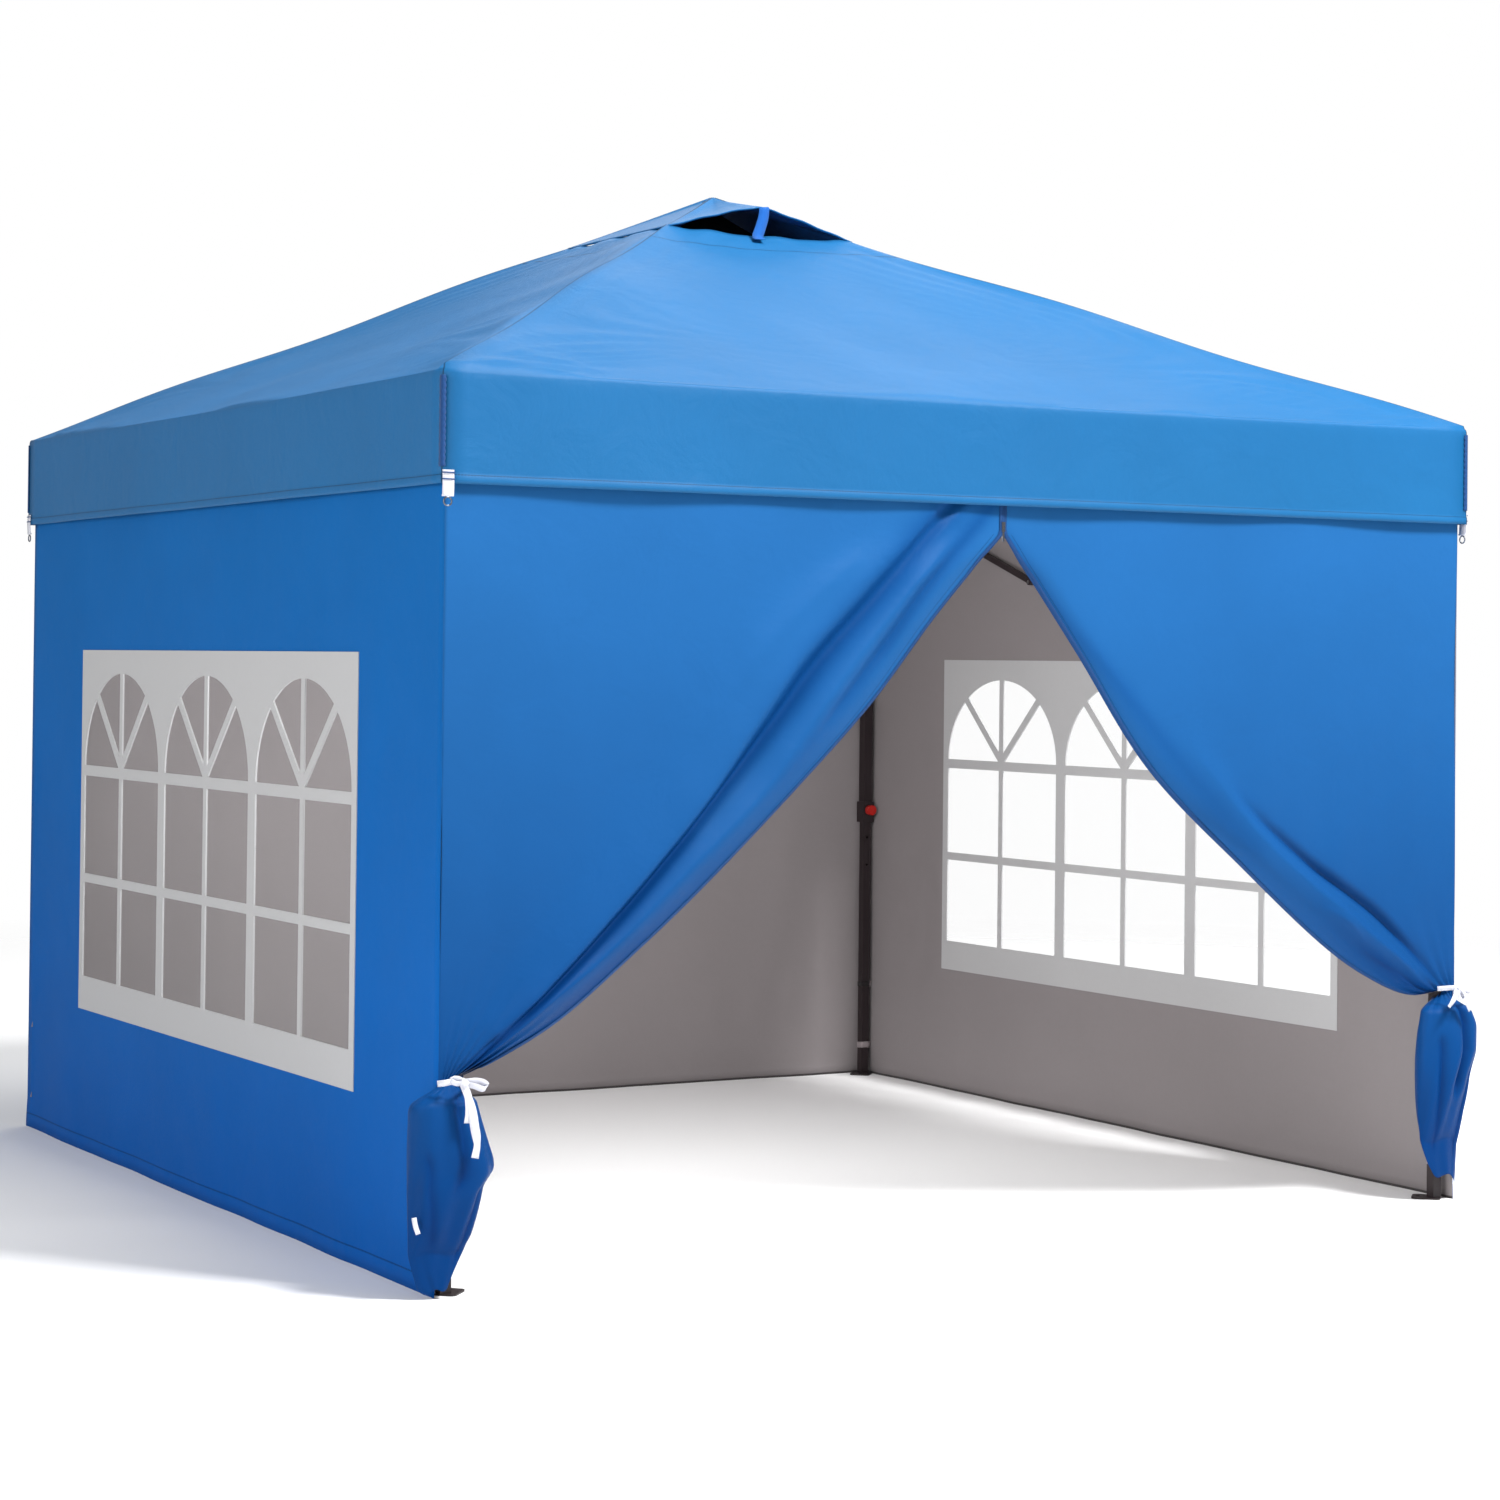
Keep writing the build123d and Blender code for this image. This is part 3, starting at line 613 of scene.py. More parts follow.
# window tapes: the frame's own outline, as a thin cloth grid that shows on both sides of the wall
tape_src = frame["nodes"]["window_frames"]
me = tape_src.data.copy()
me.materials.clear()
tape = bpy.data.objects.new("window_tapes", me)
bpy.context.scene.collection.objects.link(tape)
co = np.array([v.co for v in me.vertices], float).reshape(-1, 3)
sgn = np.sign(co[:, 0])
outer = abs(co[:, 0]) > 1.4825
co[:, 0] = sgn * np.where(outer, 1.4862, 1.4818)
me.vertices.foreach_set("co", co.reshape(-1))
me.materials.append(M["tape"])
uvl = me.uv_layers.new(name="UVMap") if "UVMap" not in me.uv_layers else me.uv_layers["UVMap"]
lv = np.zeros(len(me.loops), int)
me.loops.foreach_get("vertex_index", lv)
uvl.data.foreach_set("uv", co[lv][:, 1:].reshape(-1).astype(np.float32))
me.update()
follow(tape)
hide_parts("window_frames")


# ---------------------------------------------------------------- front door flaps, each one sheet from the top edge down through its tie into the gathered part
def along(pts, t):
    pts = np.array(pts, float)
    s = np.concatenate([[0], np.cumsum(np.linalg.norm(np.diff(pts, axis=0), axis=1))])
    t = np.asarray(t) * s[-1]
    return np.stack([np.interp(t, s, pts[:, k]) for k in range(2)], -1)


def bezier_path(pts):
    q = path_points([(a, 0, b) for a, b in pts], step=0.03)
    return [(p[0], p[2]) for p in q]


def fold_field(X, Z, pts, table, side):
    """A long fold along a line of (x, z) points. Each table row gives how far along, the height, and the widths away from and towards the free edge."""
    q = np.array([(p[0], p[2]) for p in path_points([(a_, 0, b_) for a_, b_ in pts], step=0.03)])
    seg = np.diff(q, axis=0)
    cum = np.concatenate([[0], np.cumsum(np.linalg.norm(seg, axis=1))])
    best = np.full(X.shape, 1e9)
    sgn = np.zeros(X.shape)
    tt = np.zeros(X.shape)
    for i in range(len(seg)):
        dx, dz = X - q[i, 0], Z - q[i, 1]
        l2 = seg[i] @ seg[i]
        t = np.clip((dx * seg[i, 0] + dz * seg[i, 1]) / l2, 0, 1)
        ex, ez = dx - t * seg[i, 0], dz - t * seg[i, 1]
        d = np.hypot(ex, ez)
        near = d < best
        best = np.where(near, d, best)
        sgn = np.where(near, np.sign(seg[i, 0] * ez - seg[i, 1] * ex), sgn)
        tt = np.where(near, (cum[i] + t * (cum[i + 1] - cum[i])) / cum[-1], tt)
    s_ = best * sgn * -side
    ts = [r_[0] for r_ in table]
    amp = np.interp(tt, ts, [r_[1] for r_ in table])
    wl = np.interp(tt, ts, [r_[2] for r_ in table])
    wr = np.interp(tt, ts, [r_[3] for r_ in table])
    return amp * np.exp(-np.abs(s_ / np.where(s_ < 0, wl, wr)) ** 1.7)


def flap(name, sx, tie_x, tie_z, tie_w, free_edge, left_of, right_of, folds, shades, curl_in, bag_depth, seed, pleats, z_low, dents):
    """sx is -1 for the left flap. free_edge runs from the top of the opening to the tie. left_of and right_of give the gathered part's outline by height."""
    N, R, B = 190, 150, 90
    f = np.linspace(0, 1, N)
    f = 1 - (1 - f) ** 1.25
    v = np.linspace(0, 1, R)
    c0 = along([(sx * WALL, TOP), (sx * WALL, 1.2), (sx * (WALL - 0.002), tie_z + 0.16), (tie_x + sx * tie_w / 2, tie_z)], v)
    edge = [(0.012, TOP), (0.012, free_edge[0][1])] + bezier_path(free_edge)[1:]
    c1 = along(edge, v)
    X = c0[:, None, 0] * (1 - f[None]) + c1[:, None, 0] * f[None]
    Zz = c0[:, None, 1] * (1 - f[None]) + c1[:, None, 1] * f[None]
    V = np.repeat(v[:, None], N, 1)
    F = np.repeat(f[None], R, 0)
    Zz[0] = TOP
    span = np.linalg.norm(c1 - c0, axis=1)[:, None]
    from_edge = (1 - F) * span
    Y = np.zeros_like(X)
    S = np.zeros_like(X)
    for pts, table in folds:
        Y += fold_field(X, Zz, pts, table, sx)
        # painted shade: the valleys of the folds also darken the colour, through the shade attribute
        if table[1][1] < 0:
            S += fold_field(X, Zz, pts, [(t_, -a_ / 0.022, 1.25 * l_, 1.25 * r_) for t_, a_, l_, r_ in table], sx)
    for pts, table in shades:
        S += fold_field(X, Zz, pts, table, sx)
    # the folds run out at the top hem and at the tie
    Y = np.minimum(Y, 0) * smooth((TOP - 0.03 - Zz) / 0.17) + np.maximum(Y, 0) * smooth((1.752 - Zz) / 0.14)
    tie_d = np.hypot(X - tie_x, Zz - tie_z)
    Y *= 0.12 + 0.88 * smooth(tie_d / 0.30)
    near = smooth((0.42 - tie_d) / 0.42)
    Y += 0.006 * near**1.5 * np.sin(2 * math.pi * F * pleats + seed) * (0.25 * smooth((F - 0.04) / 0.15) + 0.75 * smooth((F - 0.55) / 0.3))
    Y += 0.0025 * waves(X, Zz, seed, 10, 0.4, 2.0) * smooth(V / 0.15) + 0.0016 * waves(X * 1.0, Zz * 0.5, seed + 9, 8, 3, 8) * smooth((V - 0.2) / 0.5)
    # the free edge curls back towards the inside
    curl = smooth((V - 0.13) / 0.06)
    Y -= curl_in(V) * curl * np.clip(1 - from_edge / 0.075, 0, 1) ** 2
    Y = np.maximum(Y, -0.04)
    X = X - 0.58 * Y * smooth(1 - from_edge / 0.12) * curl
    P1 = np.stack([X, -WALL - Y, Zz], -1)
    # the gathered part under the tie
    w = np.linspace(0, 1, B)[1:]
    zz = tie_z + (z_low - tie_z) * w
    lo = np.interp(-zz, [-z for z, _ in left_of], [x for _, x in left_of])
    hi = np.interp(-zz, [-z for z, _ in right_of], [x for _, x in right_of])
    k3 = np.array([1, 2, 3, 2, 1]) / 9
    lo = np.convolve(np.pad(lo, 2, "edge"), k3, "valid")
    hi = np.convolve(np.pad(hi, 2, "edge"), k3, "valid")
    cx, ax = (lo + hi) / 2, (hi - lo) / 2
    # the outline as seen, from f 0 at the wall side round the front to the door side
    ph = lerp(math.pi + 0.55, -0.60, f) if sx < 0 else lerp(-0.55, math.pi + 0.60, f)
    depth = bag_depth * np.clip(np.sin(np.clip(w * 1.12 + 0.06, 0, 1) * math.pi) ** 0.6, 0.25, 1)
    PH, W = np.meshgrid(ph, w)
    rad = 1 + 0.13 * np.abs(np.sin(4.5 * PH + seed)) * (1 - smooth(W / 0.20)) + 0.05 * np.sin(5 * PH + 3.2 * W + seed) + 0.05 * np.sin(9 * PH - 7 * W + 2 * seed) * smooth((W - 0.1) / 0.4) + 0.035 * np.sin(3 * PH + 11 * W)
    rad += 0.07 * waves(PH * 0.25, W * 0.8, seed + 31, 8, 1.0, 3.0)
    S2 = np.zeros_like(rad)
    for p0, p1, w0, w1, wid, amt in dents:
        line = lerp(p0, p1, np.clip((W - w0) / (w1 - w0), 0, 1))
        dent = np.exp(-np.abs((PH - line) / wid) ** 1.6) * smooth((W - w0) / 0.08) * smooth((w1 - W) / 0.12)
        rad -= amt * dent
        # painted shade: the dents also darken the colour, through the shade attribute
        S2 += min(1, amt / 0.22) * dent
    bx = cx[:, None] + ax[:, None] * np.cos(PH) * (1 + 0.25 * (rad - 1))
    by = -1.487 - depth[:, None] * (np.sin(PH) * 0.95 + 0.05) * rad
    bz = np.repeat(zz[:, None], N, 1) + 0.012 * W * np.sin(3 * PH + seed) + 0.02 * W**3 * np.cos(PH - 0.6) * -sx
    P2 = np.stack([bx, by, bz], -1)
    end = P1[-1][None].copy()
    end = np.repeat(end, len(w), 0)
    end[..., 2] = zz[:, None]
    t = smooth(w / 0.11)[:, None, None]
    P2 = end * (1 - t) + P2 * t
    low = P2[..., 2]
    P2[..., 2] = np.where(low < 0.03, 0.004 + 0.026 * np.exp((low - 0.03) / 0.026), low)
    P = np.concatenate([P1, P2])
    flat_u = np.concatenate([[0], np.cumsum(np.full(N - 1, 1.494 / (N - 1)))])
    s0 = np.linspace(0, 1.98, len(P))
    uv = np.zeros((len(P), N + 1, 2))
    uv[:, :N, 0] = flat_u[None]
    uv[:, N, 0] = 1.5
    uv[..., 1] = s0[:, None]
    edge_d = (1 - np.repeat(f[None], len(P), 0)) * 1.494
    edge_d[: max(2, int(R * 0.12))] += 0.5
    o = grid(name, P, [M["flap"], M["inner"]], uv=uv, attrs={"edge": edge_d, "drop": np.zeros(edge_d.shape), "shade": np.clip(np.concatenate([S, S2]), 0, 1)}, flip=sx > 0)
    thicken(o, 0.0009, 1)
    return o, P, P1


FREE_L = [(0.012, 1.739), (-0.18, 1.535), (-0.367, 1.316), (-0.59, 1.10), (-0.826, 0.886), (-1.01, 0.735), (-1.185, 0.602), (-1.33, 0.525), (-1.425, 0.488)]
FREE_R = [(0.012, 1.739), (0.235, 1.455), (0.467, 1.155), (0.77, 0.90), (1.056, 0.68), (1.25, 0.575), (1.36, 0.545), (1.430, 0.556)]
LEFT_OF_L = [(0.48, -1.50), (0.455, -1.535), (0.42, -1.554), (0.245, -1.556), (0.115, -1.552), (0.05, -1.530), (0.0, -1.497)]
RIGHT_OF_L = [(0.48, -1.425), (0.44, -1.398), (0.38, -1.378), (0.30, -1.352), (0.275, -1.350), (0.24, -1.378), (0.123, -1.402), (0.06, -1.430), (0.0, -1.462)]
LEFT_OF_R = [(0.56, 1.40), (0.52, 1.375), (0.45, 1.364), (0.38, 1.360), (0.20, 1.362), (0.139, 1.366), (0.09, 1.388), (0.07, 1.405)]
RIGHT_OF_R = [(0.56, 1.480), (0.52, 1.525), (0.47, 1.548), (0.40, 1.545), (0.34, 1.520), (0.25, 1.500), (0.10, 1.490), (0.07, 1.486)]
# folds of the left flap, from the top down: the ridge beside the smooth part, the sharp valley, the broad ridge by the free edge, and a short valley near the zip
FOLDS_L = [
    ([(0.03, 2.02), (-0.1, 1.885), (-0.248, 1.734), (-0.416, 1.566), (-0.569, 1.422), (-0.687, 1.276), (-0.824, 1.1), (-0.989, 0.923), (-1.171, 0.738), (-1.339, 0.583)], [(0, 0.014, 0.06, 0.032), (0.44, 0.024, 0.07, 0.032), (0.64, 0.036, 0.09, 0.03), (0.88, 0.034, 0.075, 0.026), (1.0, 0.024, 0.04, 0.02)]),
    ([(0.09, 2.02), (-0.04, 1.897), (-0.191, 1.745), (-0.348, 1.582), (-0.503, 1.427), (-0.622, 1.285), (-0.782, 1.104), (-0.989, 0.886), (-1.146, 0.737), (-1.29, 0.608), (-1.407, 0.506)], [(0, -0.024, 0.042, 0.034), (0.429, -0.026, 0.034, 0.028), (0.592, -0.024, 0.016, 0.013), (0.918, -0.02, 0.011, 0.009), (1.0, -0.008, 0.01, 0.01)]),
    ([(0.16, 2.02), (0.02, 1.877), (-0.121, 1.737), (-0.275, 1.588), (-0.447, 1.395), (-0.589, 1.215), (-0.685, 1.098), (-0.885, 0.921), (-1.09, 0.735), (-1.26, 0.615), (-1.377, 0.523)], [(0, 0.024, 0.035, 0.04), (0.47, 0.036, 0.045, 0.07), (0.674, 0.042, 0.045, 0.075), (0.878, 0.036, 0.035, 0.06), (1.0, 0.02, 0.03, 0.04)]),
    ([(0.18, 2.02), (0.05, 1.88), (-0.063, 1.759), (-0.223, 1.589), (-0.313, 1.477), (-0.413, 1.366), (-0.52, 1.25)], [(0, -0.018, 0.024, 0.02), (0.737, -0.018, 0.022, 0.02), (0.901, -0.01, 0.02, 0.02), (1.0, -0.0, 0.02, 0.02)]),
    ([(-0.08, 2.02), (-0.18, 1.905), (-0.3, 1.78), (-0.47, 1.62), (-0.62, 1.5), (-0.74, 1.36), (-0.86, 1.2)], [(0, 0.006, 0.04, 0.03), (0.715, 0.009, 0.045, 0.035), (1.0, 0.0, 0.03, 0.03)]),
]
# folds of the right flap: the turned-over roll by the free edge and the sharp line beside it
FOLDS_R = [
    ([(0.60, 1.20), (0.80, 0.985), (0.95, 0.868), (1.10, 0.765), (1.25, 0.665), (1.385, 0.585)], [(0, 0.006, 0.05, 0.05), (0.3, 0.030, 0.030, 0.060), (0.6, 0.044, 0.030, 0.065), (0.85, 0.036, 0.022, 0.05), (1, 0.022, 0.02, 0.04)]),
    ([(0.72, 1.12), (0.812, 1.030), (1.012, 0.890), (1.181, 0.790), (1.285, 0.710), (1.408, 0.600)], [(0, 0.0, 0.02, 0.02), (0.2, -0.010, 0.014, 0.010), (0.5, -0.020, 0.014, 0.010), (0.9, -0.016, 0.012, 0.009), (1, -0.008, 0.01, 0.01)]),
    ([(1.00, 0.80), (1.09, 0.752), (1.16, 0.690)], [(0, 0.0, 0.012, 0.012), (0.5, 0.008, 0.012, 0.012), (1, 0.0, 0.012, 0.012)]),
    ([(1.12, 0.70), (1.23, 0.640), (1.36, 0.572)], [(0, 0.0, 0.012, 0.012), (0.5, -0.010, 0.010, 0.010), (1, -0.006, 0.010, 0.010)]),
]
# where the cloth lies in the shade of a fold
SHADES_L = [
    ([(-0.62, 1.08), (-0.737, 0.965), (-0.884, 0.838), (-1.059, 0.704), (-1.16, 0.622), (-1.30, 0.530)], [(0, 0.0, 0.03, 0.03), (0.3, 0.45, 0.03, 0.04), (0.8, 0.75, 0.025, 0.04), (1, 0.5, 0.02, 0.03)]),
    ([(-0.36, 1.42), (-0.50, 1.28), (-0.60, 1.165), (-0.70, 1.05)], [(0, 0.0, 0.03, 0.03), (0.5, 0.35, 0.03, 0.04), (1, 0.0, 0.03, 0.03)]),
    ([(-0.86, 1.00), (-1.00, 0.855), (-1.14, 0.730), (-1.30, 0.590), (-1.40, 0.505)], [(0, 0.2, 0.02, 0.02), (0.5, 0.5, 0.018, 0.018), (1, 0.5, 0.015, 0.015)]),
]
SHADES_R = [
    ([(0.03, 1.72), (0.193, 1.535), (0.363, 1.372), (0.617, 1.115), (0.80, 0.950)], [(0, 0.5, 0.02, 0.03), (0.5, 0.5, 0.025, 0.03), (1, 0.2, 0.02, 0.03)]),
    ([(0.95, 0.835), (1.10, 0.722), (1.286, 0.600), (1.40, 0.560)], [(0, 0.0, 0.02, 0.03), (0.5, 0.5, 0.02, 0.03), (1, 0.6, 0.02, 0.03)]),
]
left_flap, PL, PL1 = flap("left_door_flap", -1, -1.452, 0.480, 0.062, FREE_L, LEFT_OF_L, RIGHT_OF_L, FOLDS_L, SHADES_L, lambda v: 0.022, 0.062, 1.3, 9, 0.008, [(1.25, 1.55, 0.02, 0.55, 0.16, 0.16), (2.4, 1.9, 0.30, 0.85, 0.14, 0.12), (0.65, 0.95, 0.45, 0.9, 0.16, 0.14)])
right_flap, PR, PR1 = flap("right_door_flap", 1, 1.455, 0.556, 0.060, FREE_R, LEFT_OF_R, RIGHT_OF_R, FOLDS_R, SHADES_R, lambda v: 0.020 + 0.020 * smooth((v - 0.50) / 0.2), 0.062, 4.1, 7, 0.075, [(1.15, 1.35, 0.02, 0.60, 0.20, 0.34), (0.55, 0.8, 0.35, 0.95, 0.14, 0.16), (2.2, 2.0, 0.2, 0.9, 0.13, 0.16)])
follow(left_flap, door=True)
follow(right_flap, door=True)
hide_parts("front_wall")

# zip tapes along the two free edges, and closed above the opening
for nm, Pf in (("left_zip_tape", PL1), ("right_zip_tape", PR1)):
    r = range(0, len(Pf) - 3, 1)
    line = np.array([Pf[i, -1] for i in r])
    ins = np.array([Pf[i, -6] for i in r])
    ac = ins - line
    ac /= np.linalg.norm(ac, axis=1)[:, None]
    Pz = np.stack([line - ac * 0.003 + [0, -0.0012, 0], line + ac * 0.004 + [0, -0.0016, 0], line + ac * 0.011 + [0, -0.0014, 0]], 1)
    z = grid(nm, Pz, [M["zip"]])
    thicken(z, 0.0008, offset=0.0)
    follow(z, door=True)

# ---------------------------------------------------------------- ribbons, straps and bands
W = (0, 0, 1)
tie_parts = []
yl = -1.556
# left: a band round the gathers, then a bow with two long tails
tie_parts.append(ribbon("t0", [(-1.497, -1.510, 0.478), (-1.487, -1.532, 0.482), (-1.470, yl + 0.026, 0.484), (-1.452, yl + 0.012, 0.484), (-1.430, yl + 0.030, 0.481), (-1.412, -1.500, 0.478)], 0.014, W, M["strap_white"]))
tie_parts.append(ribbon("t1", [(-1.450, yl + 0.010, 0.481), (-1.430, yl + 0.000, 0.487), (-1.405, yl + 0.004, 0.481), (-1.393, yl + 0.012, 0.470), (-1.405, yl + 0.004, 0.466), (-1.430, yl + 0.000, 0.475), (-1.450, yl + 0.010, 0.479)], 0.015, [(0.1, -0.6, 1)] * 7, M["strap_white"]))
tie_parts.append(ribbon("t2", [(-1.452, yl + 0.010, 0.484), (-1.466, yl + 0.004, 0.493), (-1.480, yl + 0.010, 0.492), (-1.476, yl + 0.006, 0.484), (-1.464, yl + 0.004, 0.481), (-1.452, yl + 0.009, 0.482)], 0.013, [(0.1, -0.6, 1)] * 6, M["strap_white"]))
tie_parts.append(ribbon("t3", [(-1.450, yl + 0.008, 0.480), (-1.444, yl - 0.004, 0.455), (-1.438, yl - 0.010, 0.425), (-1.434, yl - 0.014, 0.390), (-1.426, yl - 0.012, 0.350), (-1.432, yl - 0.014, 0.318)], 0.020, [(1, 0.3, 0), (1, 0.5, 0), (1, 0, 0), (0.9, -0.5, 0), (1, 0.4, 0), (1, 0.2, 0)], M["strap_white"]))
tie_parts.append(ribbon("t4", [(-1.452, yl + 0.006, 0.480), (-1.448, yl - 0.006, 0.450), (-1.446, yl - 0.010, 0.420), (-1.448, yl - 0.008, 0.395)], 0.018, [(1, -0.3, 0), (1, 0.5, 0), (1, 0.2, 0), (1, 0.1, 0)], M["strap_white"]))
kn = ribbon("t5", [(-1.4585, yl + 0.004, 0.487), (-1.452, yl - 0.006, 0.481), (-1.4455, yl + 0.004, 0.475)], 0.017, (0.5, -0.2, 1), M["strap_white"], thick=0.004)
tie_parts.append(kn)
# right
yr = -1.556
tie_parts.append(ribbon("u0", [(1.515, -1.495, 0.556), (1.498, -1.530, 0.560), (1.474, yr + 0.022, 0.566), (1.452, yr + 0.010, 0.572), (1.430, yr + 0.030, 0.570), (1.412, -1.500, 0.566)], 0.013, W, M["strap_white"]))
tie_parts.append(ribbon("u1", [(1.440, yr + 0.006, 0.575), (1.428, yr - 0.002, 0.560), (1.414, yr - 0.002, 0.538), (1.404, yr + 0.002, 0.523)], 0.017, [(1, 0, 0.5)] * 4, M["strap_white"]))
tie_parts.append(ribbon("u2", [(1.440, yr + 0.006, 0.577), (1.452, yr - 0.004, 0.560), (1.464, yr - 0.006, 0.535), (1.476, yr - 0.004, 0.513)], 0.020, [(1, 0, -0.3), (1, 0.4, -0.4), (1, 0, -0.5), (1, 0.2, -0.5)], M["strap_white"]))
tie_parts.append(ribbon("u3", [(1.440, yr + 0.006, 0.573), (1.430, yr - 0.004, 0.556), (1.440, yr - 0.006, 0.541), (1.450, yr - 0.002, 0.548), (1.442, yr + 0.004, 0.572)], 0.011, [(0.3, -0.8, 0.6)] * 5, M["strap_white"]))
ties = strips("flap_tie_ribbons", tie_parts)
follow(ties, door=True)

# bands of webbing that hold the walls to the lower part of each leg
band_parts = []
for k in range(4):
    rot = Matrix.Rotation(math.pi / 2 * k, 3, "Z")
    for z in (0.10, 0.31):
        h = 0.0156
        loop = []
        for q in np.linspace(0, 2 * math.pi, 33):
            c, s = math.cos(q), math.sin(q)
            m_ = max(abs(c), abs(s)) ** 0.8
            loop.append(tuple(rot @ Vector((-LEG + h * c / m_, -LEG + h * s / m_, z + 0.0015 * math.sin(q)))))
        band_parts.append(ribbon(f"b{k}{z}", loop, 0.020 if z < 0.2 else 0.016, W, M["strap_grey"] if z < 0.2 else M["strap_dark"], thick=0.0012, smooth_path=False))
        for to in ((-1.4832, -LEG), (-LEG, -1.4832)):
            if k == 0 and to[0] == -LEG or k == 1 and to[1] == -LEG:
                continue
            d = Vector((to[0] + LEG, to[1] + LEG, 0)).normalized() * 0.0155
            st, en = Vector((-LEG, -LEG, z)) + d, Vector((to[0], to[1], z))
            pts = [rot @ st, rot @ ((st + en) / 2 + Vector((0, 0, -0.002))), rot @ en]
            band_parts.append(ribbon(f"c{k}{z}{to[0]}", [tuple(p) for p in pts], 0.020, W, M["strap_grey"], thick=0.0012))
bands = strips("leg_bands", band_parts)
follow(bands, snap=True)
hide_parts("wall_ties")

# corner straps: webbing with a ladder buckle
strap_parts = []
for k in range(4):
    rot = Matrix.Rotation(math.pi / 2 * k, 3, "Z")
    x = -HALF + 0.015
    pts = [(x, -HALF - 0.0022, 1.835), (x, -HALF - 0.0035, 1.812), (x, -HALF - 0.0030, 1.795), (x, -HALF - 0.0022, 1.779), (x, -HALF - 0.0008, 1.7765), (x, -HALF + 0.0006, 1.780)]
    strap_parts.append(ribbon(f"s{k}", [tuple(rot @ Vector(p)) for p in pts], 0.028, tuple(rot @ Vector((1, 0, 0))), M["strap_white"], thick=0.0014, step=0.003))
    for z in (1.829, 1.8145):
        pts = [(x - 0.0155, -HALF - 0.0045, z), (x, -HALF - 0.0058, z), (x + 0.0155, -HALF - 0.0045, z)]
        strap_parts.append(ribbon(f"q{k}{z}", [tuple(rot @ Vector(p)) for p in pts], 0.0026, W, M["seam"], thick=0.0016, step=0.004))
cstraps = strips("corner_webbing", strap_parts)
follow(cstraps, snap=True)
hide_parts("corner_straps")

# hook-and-loop seam down each corner of the valance, with a scalloped edge
seam_parts = []
for k in range(4):
    rot = Matrix.Rotation(math.pi / 2 * k, 3, "Z")
    zs = np.linspace(2.045, 1.842, 90)
    P = np.zeros((len(zs), 4, 3))
    for i, z in enumerate(zs):
        sc = 0.0022 * abs(math.sin((z - 1.84) * math.pi / 0.0145))
        for j, (dx, dy) in enumerate(((0.006 + sc, -0.0022), (-0.0012, -0.0024), (-0.0024, 0.0012), (-0.0022, 0.009 + sc))):
            P[i, j] = rot @ Vector((-HALF - 0.0003 + dx, -HALF - 0.0003 + dy, z))
    o = grid(f"cs{k}", P, [M["seam"]])
    thicken(o, 0.0006, offset=0.0)
    seam_parts.append(o)
seams = strips("valance_corner_seams", seam_parts)
follow(seams, snap=True)

# white hook-and-loop tab on the gathered left flap
tab = ribbon("gather_tab", [(-1.556, -1.5250, 0.190), (-1.554, -1.5290, 0.172), (-1.548, -1.5310, 0.154)], 0.011, (0.8, -0.6, 0.3), M["strap_white"], thick=0.0012)
follow(tab, door=True)

# rings, buckles and the zip's slider keep their CAD shape, as a piece of their own that folds with the cloth
me = frame["nodes"]["metal_trim"].data.copy()
me.materials.clear()
me.materials.append(M["chrome"])
trim = bpy.data.objects.new("corner_metal", me)
bpy.context.scene.collection.objects.link(trim)
follow(trim, snap=True)
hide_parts("metal_trim")

# ---------------------------------------------------------------- frame parts
for name, o in frame["nodes"].items():
    if o.hide_render:
        continue
    if "knob" in name:
        mats = [M["red"]]
    elif "slider" in name:
        mats = [M["plastic"], M["rivet"]]
    elif name == "center_hub":
        mats = [M["steel"], M["plastic"]]
    else:
        mats = [M["steel"], M["rivet"]]
    o.data.materials.clear()
    for mt in mats:
        o.data.materials.append(mt)
    if len(mats) > 1:
        me = o.data
        # loose parts: small round ones are rivets
        n = len(me.vertices)
        par = list(range(n))

        def find(a):
            while par[a] != a:
                par[a] = par[par[a]]
                a = par[a]
            return a

        key = {}
        for i, vv in enumerate(me.vertices):
            kk = tuple(round(c, 6) for c in vv.co)
            if kk in key:
                par[find(i)] = find(key[kk])
            else:
                key[kk] = i
        for e in me.edges:
            a, b2 = find(e.vertices[0]), find(e.vertices[1])
            par[a] = b2
        groups = {}
        for p_ in me.polygons:
            groups.setdefault(find(p_.vertices[0]), []).append(p_.index)
        for g in groups.values():
            pts = np.array([me.vertices[vi].co for fi in g for vi in me.polygons[fi].vertices])
            size = pts.max(0) - pts.min(0)
            if name == "center_hub":
                small = size[2] < 0.2 and size.max() > 0.03
            else:
                small = size.max() < 0.03 and name != "center_hub"
            for fi in g:
                me.polygons[fi].material_index = 1 if small else 0

# ---------------------------------------------------------------- stage, light and camera
def area_light(name, loc, target, size, power, col=(1, 1, 1)):
    l = bpy.data.lights.new(name, "AREA")
    l.shape = "RECTANGLE"
    l.size, l.size_y = size
    l.energy = power
    l.color = col
    o = bpy.data.objects.new(name, l)
    bpy.context.scene.collection.objects.link(o)
    o.location = loc
    o.visible_camera = False
    o.rotation_euler = (Vector(target) - Vector(loc)).to_track_quat("-Z", "Y").to_euler()
    return o


fm, nt, fp = new_mat("studio_floor")
fp.inputs["Base Color"].default_value = (0.96, 0.96, 0.96, 1)
fp.inputs["Roughness"].default_value = 0.9
fp.inputs["Specular IOR Level"].default_value = 0.1
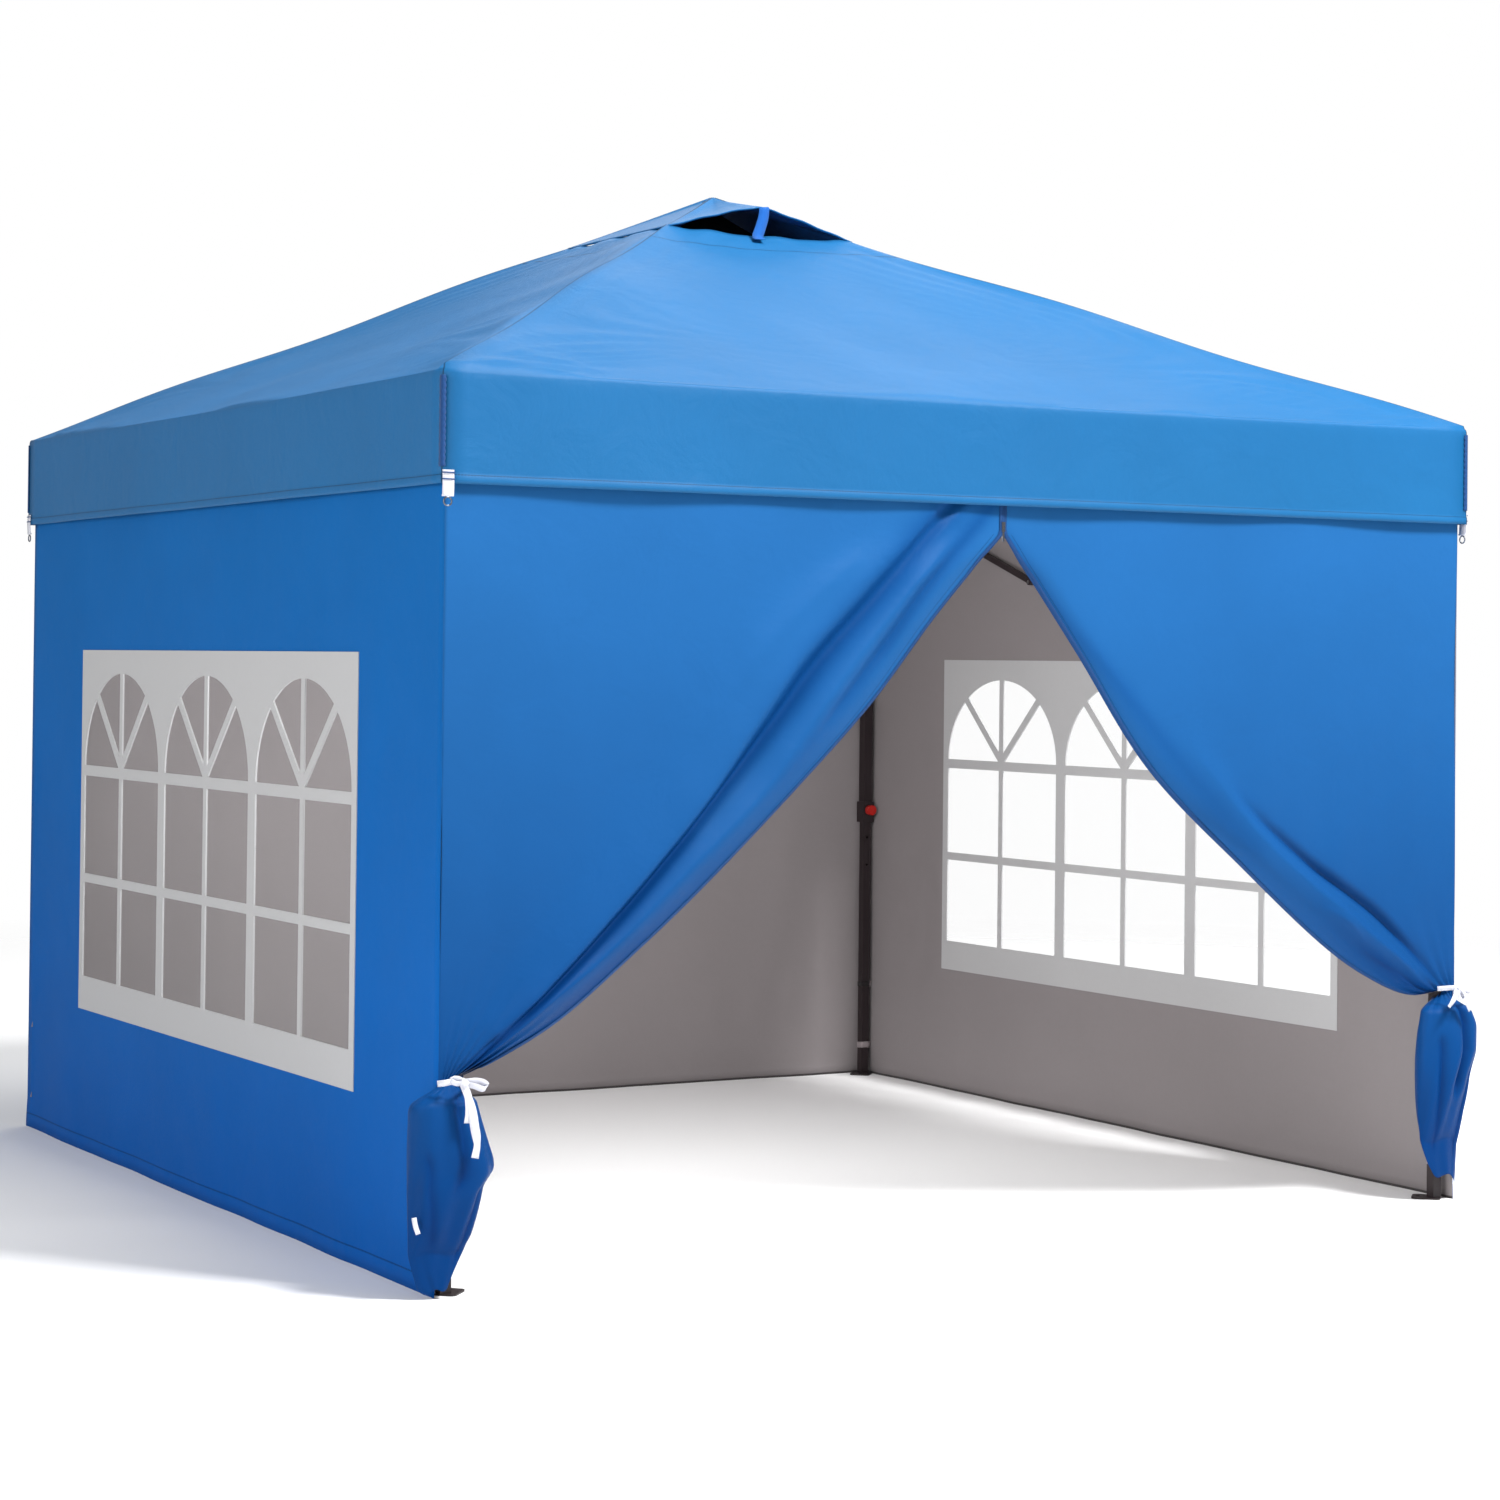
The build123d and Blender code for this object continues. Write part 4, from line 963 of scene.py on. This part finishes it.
# the floor fades out with distance, so no horizon shows
geo = nt.nodes.new("ShaderNodeNewGeometry")
ln = nt.nodes.new("ShaderNodeVectorMath")
ln.operation = "LENGTH"
nt.links.new(geo.outputs["Position"], ln.inputs[0])
away = math_node(nt, "DIVIDE", math_node(nt, "SUBTRACT", ln.outputs["Value"], 4.0), 5.0, True)
nt.links.new(math_node(nt, "SUBTRACT", 1.0, away), fp.inputs["Alpha"])
fmesh = bpy.data.meshes.new("studio_floor")
S = 12.0
fmesh.from_pydata([(-S, -S, 0.0), (S, -S, 0.0), (S, S, 0.0), (-S, S, 0.0)], [], [(0, 1, 2, 3)])
fmesh.materials.append(fm)
floor = bpy.data.objects.new("studio_floor", fmesh)
bpy.context.scene.collection.objects.link(floor)

sc = bpy.context.scene
world = bpy.data.worlds.new("studio")
sc.world = world
world.use_nodes = True
nt = world.node_tree
bg = nt.nodes["Background"]
bg.inputs[0].default_value = (1, 1, 1, 1)
bg.inputs[1].default_value = 0.42
plain = nt.nodes.new("ShaderNodeBackground")
plain.inputs[0].default_value = (1, 1, 1, 1)
plain.inputs[1].default_value = 1.0
seen = nt.nodes.new("ShaderNodeLightPath")
both = nt.nodes.new("ShaderNodeMixShader")
nt.links.new(seen.outputs["Is Camera Ray"], both.inputs[0])
nt.links.new(bg.outputs[0], both.inputs[1])
nt.links.new(plain.outputs[0], both.inputs[2])
nt.links.new(both.outputs[0], nt.nodes["World Output"].inputs[0])

area_light("key", (3.2, -6.8, 9.6), (0.0, -0.6, 1.3), (2.2, 2.2), 1800)
area_light("top", (1.0, -1.5, 9.0), (0, 0, 2.2), (4.0, 4.0), 300)
area_light("back", (4.5, 6.5, 6.0), (0, 0, 2.0), (5.0, 5.0), 130)
area_light("fill", (-8.0, -3.5, 3.0), (-1.0, 0, 1.0), (3.0, 3.0), 260)
area_light("inside_back", (-0.6, -0.9, 1.60), (0.3, 1.6, 0.7), (1.6, 0.9), 26)
area_light("inside_right", (-1.0, -0.4, 1.60), (1.6, 0.4, 0.7), (1.6, 0.9), 18)

cam_d = bpy.data.cameras.new("camera")
cam = bpy.data.objects.new("camera", cam_d)
sc.collection.objects.link(cam)
sc.camera = cam
CX, CY, CZ, AZ, FPX, PX, PY, PITCH, ROLL = -4.468713, -8.056856, 1.415774, 0.527705, 3236.0028, 772.985, 618.175, 0.013645, 0.010758
dv = Vector((math.sin(AZ) * math.cos(PITCH), math.cos(AZ) * math.cos(PITCH), math.sin(PITCH)))
rv = Vector((math.cos(AZ), -math.sin(AZ), 0))
uvv = rv.cross(dv)
r2, u2 = rv * math.cos(ROLL) + uvv * math.sin(ROLL), -rv * math.sin(ROLL) + uvv * math.cos(ROLL)
mw = Matrix.Identity(4)
for i in range(3):
    mw[i][0], mw[i][1], mw[i][2] = r2[i], u2[i], -dv[i]
mw[0][3], mw[1][3], mw[2][3] = CX, CY, CZ
cam.matrix_world = mw
cam_d.sensor_width = 36
cam_d.lens = FPX / 1500 * 36
cam_d.shift_x = (750 - PX) / 1500
cam_d.shift_y = (PY - 750) / 1500
cam_d.clip_end = 200

sc.view_settings.view_transform = "Standard"
sc.view_settings.look = "None"
sc.view_settings.exposure = 0.0
